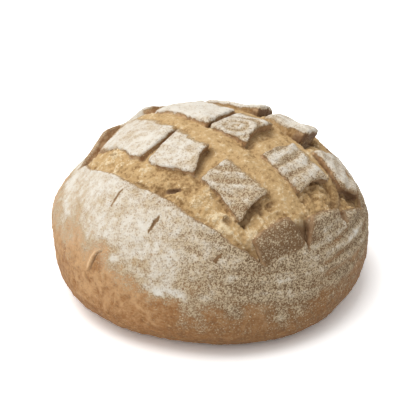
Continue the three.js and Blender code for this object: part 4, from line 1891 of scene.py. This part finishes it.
@dataclass(frozen=True)
class LoafFinish:
    """The colours of the loaf's surfaces, the sizes of their textures, and where each colour sets in."""

    # Paler crust on the creases' lips, partly stretched crust and partly painted highlight.
    crust_pale_lip: Colour = shade(236, 197, 150)
    crust_fleck: Colour = shade(220, 180, 128)
    crust_pale: Colour = shade(202, 158, 111)
    crust_dark: Colour = shade(157, 107, 59)
    crust_deep: Colour = shade(110, 80, 52)
    crust_floured: Colour = shade(108, 82, 53)
    flour_white: Colour = shade(228, 221, 208)
    flour_thin: Colour = shade(206, 185, 152)
    flour_haze: Colour = shade(219, 184, 149)
    crumb_cream: Colour = shade(231, 210, 172)
    crumb_gold: Colour = shade(199, 165, 115)
    crumb_brown: Colour = shade(152, 117, 72)
    tear_tan: Colour = shade(213, 180, 140)
    tear_brown: Colour = shade(176, 137, 98)
    # Painted shade colour for the hollows, partly the browner crust that lines them.
    hollow_shade_brown: Colour = shade(114, 84, 58)
    flour_grains: Texture = Texture(0.0011, 2.0, 0.8)
    flour_clots: Texture = Texture(0.0060, 4.0, 0.65)
    flour_pepper: float = 0.0008
    flour_thick: Ramp = Ramp(0.55, 1.7)
    crumb_lumps: Texture = Texture(0.005, 5.0, 0.65)
    crumb_pores: Texture = Texture(0.0022, 2.0, 0.6)
    crumb_grit: float = 0.0012
    crumb_golden: Ramp = Ramp(-0.2, 0.42)
    crumb_creamy: Ramp = Ramp(0.45, 1.1)
    crust_mottle: Texture = Texture(0.005, 5.0, 0.65)
    crust_fine: Texture = Texture(0.0016, 3.0, 0.6)
    crust_streaks: Texture = Texture(0.0038, 5.0, 0.72)
    crust_specks: Texture = Texture(0.0026, 2.0, 0.6)
    streak_squash: Place = (1.0, 1.0, 2.2)
    darker: Ramp = Ramp(0.1, 0.9)
    deepened: Ramp = Ramp(0.75, 1.6)
    pale_lip: Ramp = Ramp(-0.4, -1.2)
    worn: Ramp = Ramp(0.7, 1.7)
    flecked: Ramp = Ramp(0.56, 0.66)
    mottled: Ramp = Ramp(0.45, 0.7)
    specked: Ramp = Ramp(0.58, 0.72)
    tear_tanned: Ramp = Ramp(0.4, 0.6)
    bare_roughness: float = 0.62
    flour_roughness: float = 0.33
    crust_gloss: float = 0.3
    clump_roughness: float = 0.95
    clump_gloss: float = 0.2
    flake_roughness: float = 0.8
    bump_strength: float = 0.8
    bump_depth: float = 0.0010
    clump_level: float = 0.6
    flake_paler: float = 0.25

    def flour(self) -> Tree:
        """Makes the flour: how it covers a surface at a level, and its colour there.

        Returns:
            The node group.
        """
        sheet, given = start_group(
            "flour_dust",
            {"Place": "NodeSocketVector", "Level": "NodeSocketFloat"},
            {"Cover": "NodeSocketFloat", "Colour": "NodeSocketColor", "Clots": "NodeSocketFloat"},
        )
        clots = sheet.noise(given["Place"], self.flour_clots)
        heap = sheet.stir(given["Level"], sheet.noise(given["Place"], self.flour_grains), 2.5)
        heap = sheet.stir(heap, clots, 1.8)
        heap = sheet.stir(heap, sheet.cells(given["Place"], self.flour_pepper), 2.2)
        cover = sheet.math("MINIMUM", sheet.math("MAXIMUM", heap, 0.0), 1.0)
        thick = sheet.spread(sheet.stir(given["Level"], clots, 2.0), self.flour_thick)
        colour = sheet.mix(thick, self.flour_thin, self.flour_white)
        return sheet.put_out(cover=cover, colour=colour, clots=clots)

    def crumb(self) -> Tree:
        """Makes the burst crumb's colour, from brown clefts to pale knobs.

        Returns:
            The node group.
        """
        sheet, given = start_group(
            "burst_crumb",
            {"Place": "NodeSocketVector", "Knob": "NodeSocketFloat"},
            {"Colour": "NodeSocketColor"},
        )
        knob = sheet.stir(given["Knob"], sheet.noise(given["Place"], self.crumb_lumps), 1.2)
        knob = sheet.stir(knob, sheet.noise(given["Place"], self.crumb_pores), 1.0)
        knob = sheet.stir(knob, sheet.cells(given["Place"], self.crumb_grit), 0.5)
        colour = sheet.mix(sheet.spread(knob, self.crumb_golden), self.crumb_brown, self.crumb_gold)
        colour = sheet.mix(sheet.spread(knob, self.crumb_creamy), colour, self.crumb_cream)
        return sheet.put_out(colour=colour)

    def loaf_material(self, flour: Tree, crumb: Tree) -> Material:
        """Makes the loaf's material.

        Args:
            flour: The flour's node group.
            crumb: The crumb's node group.

        Returns:
            The material, which reads the loaf's masks and its object coordinates.
        """
        material, sheet, shader, place = start_material("floured_crust")
        squash = sheet.node("ShaderNodeVectorMath", {0: place, 1: self.streak_squash}, operation="MULTIPLY")
        dust = sheet.group(flour, place=place, level=sheet.mask(Mask.FLOUR))
        mottle = sheet.noise(place, self.crust_mottle)
        fine = sheet.noise(place, self.crust_fine)
        streaks = sheet.noise(squash.outputs["Vector"], self.crust_streaks)
        specks = sheet.noise(place, self.crust_specks)

        # The bake mask carries painted shade too; these ramps turn it into darker crust.
        bake = sheet.stir(sheet.mask(Mask.BAKE), mottle, 1.6)
        brown = sheet.mix(sheet.spread(bake, self.darker), self.crust_pale, self.crust_dark)
        brown = sheet.mix(sheet.spread(bake, self.deepened), brown, self.crust_deep)
        # The creases' paler lips, partly painted highlight.
        brown = sheet.mix(sheet.spread(bake, self.pale_lip), brown, self.crust_pale_lip)
        worn = sheet.spread(sheet.math("ADD", bake, dust.outputs["Clots"]), self.worn)
        flecked = sheet.math("MULTIPLY", sheet.spread(streaks, self.flecked), worn)
        brown = sheet.mix(sheet.part(0.9, flecked), brown, self.crust_fleck)
        brown = sheet.mix(sheet.part(0.3, sheet.spread(fine, self.mottled)), brown, self.crust_fleck)
        brown = sheet.mix(sheet.part(0.35, sheet.spread(specks, self.specked)), brown, self.crust_deep)
        brown = sheet.mix(sheet.mask(Mask.DULL), brown, self.crust_floured)
        brown = sheet.mix(sheet.mask(Mask.HAZE), brown, self.flour_haze)

        gold = sheet.group(crumb, place=place, knob=sheet.mask(Mask.KNOB)).outputs["Colour"]
        torn = sheet.mix(sheet.spread(mottle, self.tear_tanned), self.tear_brown, self.tear_tan)
        colour = sheet.mix(sheet.mask(Mask.CRUMB), brown, gold)
        colour = sheet.mix(sheet.mask(Mask.TEAR), colour, torn)
        # Painted shade: hollows, pits, creases and narrow score ends are darkened towards shade brown.
        colour = sheet.mix(sheet.part(0.92, sheet.mask(Mask.HOLLOW)), colour, self.hollow_shade_brown)
        cover = dust.outputs["Cover"]
        height = sheet.math("ADD", sheet.part(0.5, cover), sheet.part(0.8, fine))
        bump = sheet.node("ShaderNodeBump", {
            "Strength": self.bump_strength,
            "Distance": self.bump_depth,
            "Height": sheet.math("ADD", height, sheet.part(0.6, streaks)),
        })
        sheet.feed(shader, {
            "Base Color": sheet.mix(cover, colour, dust.outputs["Colour"]),
            "Roughness": sheet.math("ADD", self.bare_roughness, sheet.part(self.flour_roughness, cover)),
            "Specular IOR Level": self.crust_gloss,
            "Normal": bump.outputs["Normal"],
        })
        return material

    def clump_material(self, flour: Tree) -> Material:
        """Makes the material of the flour clumps.

        Args:
            flour: The flour's node group.

        Returns:
            The material.
        """
        material, sheet, shader, place = start_material("clumped_flour")
        dust = sheet.group(flour, place=place, level=self.clump_level)
        sheet.feed(shader, {
            "Base Color": dust.outputs["Colour"],
            "Roughness": self.clump_roughness,
            "Specular IOR Level": self.clump_gloss,
        })
        return material

    def flake_material(self, crumb: Tree) -> Material:
        """Makes the material of the crumb flakes, a little paler than the crumb they lie on.

        Args:
            crumb: The crumb's node group.

        Returns:
            The material.
        """
        material, sheet, shader, place = start_material("torn_crumb")
        knob = sheet.math("ADD", sheet.mask(Mask.KNOB), self.flake_paler)
        torn = sheet.group(crumb, place=place, knob=knob)
        sheet.feed(shader, {
            "Base Color": torn.outputs["Colour"],
            "Roughness": self.flake_roughness,
            "Specular IOR Level": self.crust_gloss,
        })
        return material


@dataclass(frozen=True)
class Scraps:
    """Small ragged scraps strewn over the loaf by Geometry Nodes, in metres.

    A scrap is as deep as its width times slimness and as high as its width times flatness, it leans by up
    to lean, in radians, and its corners are pulled about by ragged times its largest width.
    """

    SPIN = 6.28

    name: str
    mask: Mask
    per_square_metre: float
    smallest: float
    largest: float
    flatness: float
    ragged: float
    seed: int
    slimness: float = 0.7
    lean: float = 0.4

    def build(self, loaf: bpy.types.Object, material: Material) -> bpy.types.Object:
        """Strews the scraps and makes them a plain mesh.

        Args:
            loaf: The finished loaf, whose mesh holds the mask.
            material: The scraps' material.

        Returns:
            The scraps, at the origin.
        """
        piece = bpy.data.objects.new(self.name, loaf.data.copy())
        bpy.context.scene.collection.objects.link(piece)
        strewing = piece.modifiers.new("strew", "NODES")
        tree = self._tree()
        strewing.node_group = tree
        values = {
            "Per square metre": self.per_square_metre,
            "Smallest": self.smallest,
            "Largest": self.largest,
            "Flatness": self.flatness,
            "Ragged": self.ragged * self.largest,
            "Seed": self.seed,
            "Finish": material,
        }
        for socket in tree.interface.items_tree:
            if socket.in_out == "INPUT" and socket.name in values:
                strewing[socket.identifier] = values[socket.name]
        settled = bpy.context.evaluated_depsgraph_get()
        strewn = bpy.data.meshes.new_from_object(piece.evaluated_get(settled))
        piece.modifiers.remove(strewing)
        bare = piece.data
        piece.data = strewn
        bpy.data.meshes.remove(bare)
        strewn.name = self.name
        return piece

    def _tree(self) -> Tree:
        """Makes the node tree that strews scraps where the mask is high.

        Returns:
            The tree.
        """
        form = {"Geometry": "NodeSocketGeometry"}
        sizes = ("Per square metre", "Smallest", "Largest", "Flatness", "Ragged")
        inputs = form | {label: "NodeSocketFloat" for label in sizes}
        inputs |= {"Seed": "NodeSocketInt", "Finish": "NodeSocketMaterial"}
        sheet, given = start_group(self.name, inputs, form, "GeometryNodeTree")
        seed = given["Seed"]

        mask = sheet.node("GeometryNodeInputNamedAttribute", {"Name": self.mask.value}, data_type="FLOAT")
        density = sheet.math("MULTIPLY", mask.outputs["Attribute"], given["Per square metre"])
        places = sheet.node(
            "GeometryNodeDistributePointsOnFaces",
            {"Mesh": given["Geometry"], "Density": density, "Seed": seed},
        )
        widths = {2: given["Smallest"], 3: given["Largest"], "Seed": seed}
        width = sheet.node("FunctionNodeRandomValue", widths, data_type="FLOAT").outputs[1]
        size = sheet.node("ShaderNodeCombineXYZ", {
            "X": width,
            "Y": sheet.part(self.slimness, width),
            "Z": sheet.math("MULTIPLY", width, given["Flatness"]),
        })
        turns = {0: (-self.lean, -self.lean, 0.0), 1: (self.lean, self.lean, self.SPIN), "Seed": seed}
        turn = sheet.node("FunctionNodeRandomValue", turns, data_type="FLOAT_VECTOR").outputs[0]
        tilted = sheet.node(
            "FunctionNodeRotateRotation",
            {"Rotation": places.outputs["Rotation"], "Rotate By": turn},
            rotation_space="LOCAL",
        )

        scrap = sheet.node("GeometryNodeMeshIcoSphere", {"Radius": 0.5, "Subdivisions": 1})
        strewn = sheet.node("GeometryNodeInstanceOnPoints", {
            "Points": places.outputs["Points"],
            "Instance": scrap.outputs["Mesh"],
            "Rotation": tilted.outputs["Rotation"],
            "Scale": size.outputs["Vector"],
        })
        real = sheet.node("GeometryNodeRealizeInstances", {"Geometry": strewn.outputs["Instances"]})

        noise = sheet.node("ShaderNodeTexNoise", {"Scale": 1.0 / self.largest}).outputs["Color"]
        pull = sheet.node("ShaderNodeVectorMath", {0: noise, 1: (0.5, 0.5, 0.5)}, operation="SUBTRACT")
        ragged = {0: pull.outputs["Vector"], "Scale": given["Ragged"]}
        offset = sheet.node("ShaderNodeVectorMath", ragged, operation="SCALE").outputs["Vector"]
        pulled = {"Geometry": real.outputs["Geometry"], "Offset": offset}
        moved = sheet.node("GeometryNodeSetPosition", pulled).outputs["Geometry"]
        dressed = sheet.node("GeometryNodeSetMaterial", {"Geometry": moved, "Material": given["Finish"]})
        return sheet.put_out(geometry=dressed.outputs["Geometry"])


FLOUR_CLUMPS = Scraps(
    name="flour_clumps", mask=Mask.CLUMP, per_square_metre=180_000.0,
    smallest=0.0004, largest=0.0015, flatness=0.4, ragged=0.7, seed=5,
)
CRUMB_FLAKES = Scraps(
    name="crumb_flakes", mask=Mask.FLAKE, per_square_metre=450_000.0,
    smallest=0.0006, largest=0.0020, flatness=0.4, ragged=0.7, seed=9,
)


@dataclass(frozen=True)
class Lamp:
    """A square soft light that faces the loaf, in metres and watts."""

    name: str
    place: Place
    size: float
    power: float

    def hang(self, target: Place) -> None:
        """Hangs the light.

        Args:
            target: The place that it faces.
        """
        light = bpy.data.lights.new(self.name, "AREA")
        light.size = self.size
        light.energy = self.power
        lamp = bpy.data.objects.new(self.name, light)
        lamp.location = self.place
        aim = Vector(target) - Vector(self.place)
        lamp.rotation_euler = aim.to_track_quat("-Z", "Y").to_euler()
        bpy.context.scene.collection.objects.link(lamp)


@dataclass(frozen=True)
class Studio:
    """The pale floor, the soft light and the camera at the photograph's angle.

    The floor looks whiter to the camera than the light it throws back at the loaf would have it.
    """

    camera_back: float = 0.866
    camera_height: float = 0.555
    camera_pitch: float = math.radians(60.0)
    lens: float = 116.4
    sensor: float = 36.0
    shift_right: float = -1.0 / PHOTO_SIDE
    shift_up: float = -3.4 / PHOTO_SIDE
    floor_size: float = 12.0
    floor_bounce: Colour = (0.9, 0.9, 0.9)
    floor_seen: Colour = (1.58, 1.58, 1.58)
    room_colour: Colour = (1.0, 1.0, 1.0)
    room_light: float = 0.55
    lamp_target: Place = (0.0, 0.0, 0.05)
    lamps: tuple[Lamp, ...] = (
        Lamp("key", (-0.65, 0.22, 1.8), size=2.0, power=29.0),
        Lamp("front", (-0.9, -1.4, 1.1), size=1.4, power=5.0),
    )

    def build(self) -> None:
        """Sets the stage."""
        self._floor()
        self._world()
        for lamp in self.lamps:
            lamp.hang(self.lamp_target)
        self._camera()
        bpy.context.scene.view_settings.view_transform = "Standard"

    def _floor(self) -> None:
        """Lays the floor."""
        half = self.floor_size / 2
        corners = np.array(((-half, -half, 0), (half, -half, 0), (half, half, 0), (-half, half, 0)))
        mesh = mesh_from_arrays("floor", corners, np.array(((0, 1, 2, 3),), np.int32))
        floor = bpy.data.objects.new("floor", mesh)
        bpy.context.scene.collection.objects.link(floor)
        material = bpy.data.materials.new("pale_floor")
        material.use_nodes = True
        sheet = Shading(material.node_tree)
        either = sheet.node("ShaderNodeMixShader", {
            0: sheet.node("ShaderNodeLightPath").outputs["Is Camera Ray"],
            1: sheet.node("ShaderNodeBsdfDiffuse", {"Color": self.floor_bounce}).outputs[0],
            2: sheet.node("ShaderNodeBsdfDiffuse", {"Color": self.floor_seen}).outputs[0],
        })
        sheet.feed(material.node_tree.nodes["Material Output"], {"Surface": either.outputs[0]})
        mesh.materials.append(material)

    def _world(self) -> None:
        """Lights the room evenly."""
        world = bpy.data.worlds.new("room")
        world.use_nodes = True
        back = world.node_tree.nodes["Background"]
        back.inputs["Color"].default_value = (*self.room_colour, 1.0)
        back.inputs["Strength"].default_value = self.room_light
        bpy.context.scene.world = world

    def _camera(self) -> None:
        """Places the camera."""
        lens = bpy.data.cameras.new("camera")
        lens.lens = self.lens
        lens.sensor_width = self.sensor
        lens.shift_x = self.shift_right
        lens.shift_y = self.shift_up
        camera = bpy.data.objects.new("camera", lens)
        camera.location = (0.0, -self.camera_back, self.camera_height)
        camera.rotation_euler = (self.camera_pitch, 0.0, 0.0)
        bpy.context.scene.collection.objects.link(camera)
        bpy.context.scene.camera = camera


def main() -> None:
    """Builds the loaf and its studio."""
    logging.basicConfig(level=logging.INFO, format="%(name)s: %(message)s")
    finish = LoafFinish()
    flour, crumb = finish.flour(), finish.crumb()
    loaf = Loaf().build()
    loaf.data.materials.append(finish.loaf_material(flour, crumb))
    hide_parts("loaf")
    clumps = FLOUR_CLUMPS.build(loaf, finish.clump_material(flour))
    flakes = CRUMB_FLAKES.build(loaf, finish.flake_material(crumb))
    for piece in (loaf, clumps, flakes):
        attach(piece, "root")
        LOG.info("%s: %d faces", piece.name, len(piece.data.polygons))
    Studio().build()


if __name__ == "__main__":
    main()
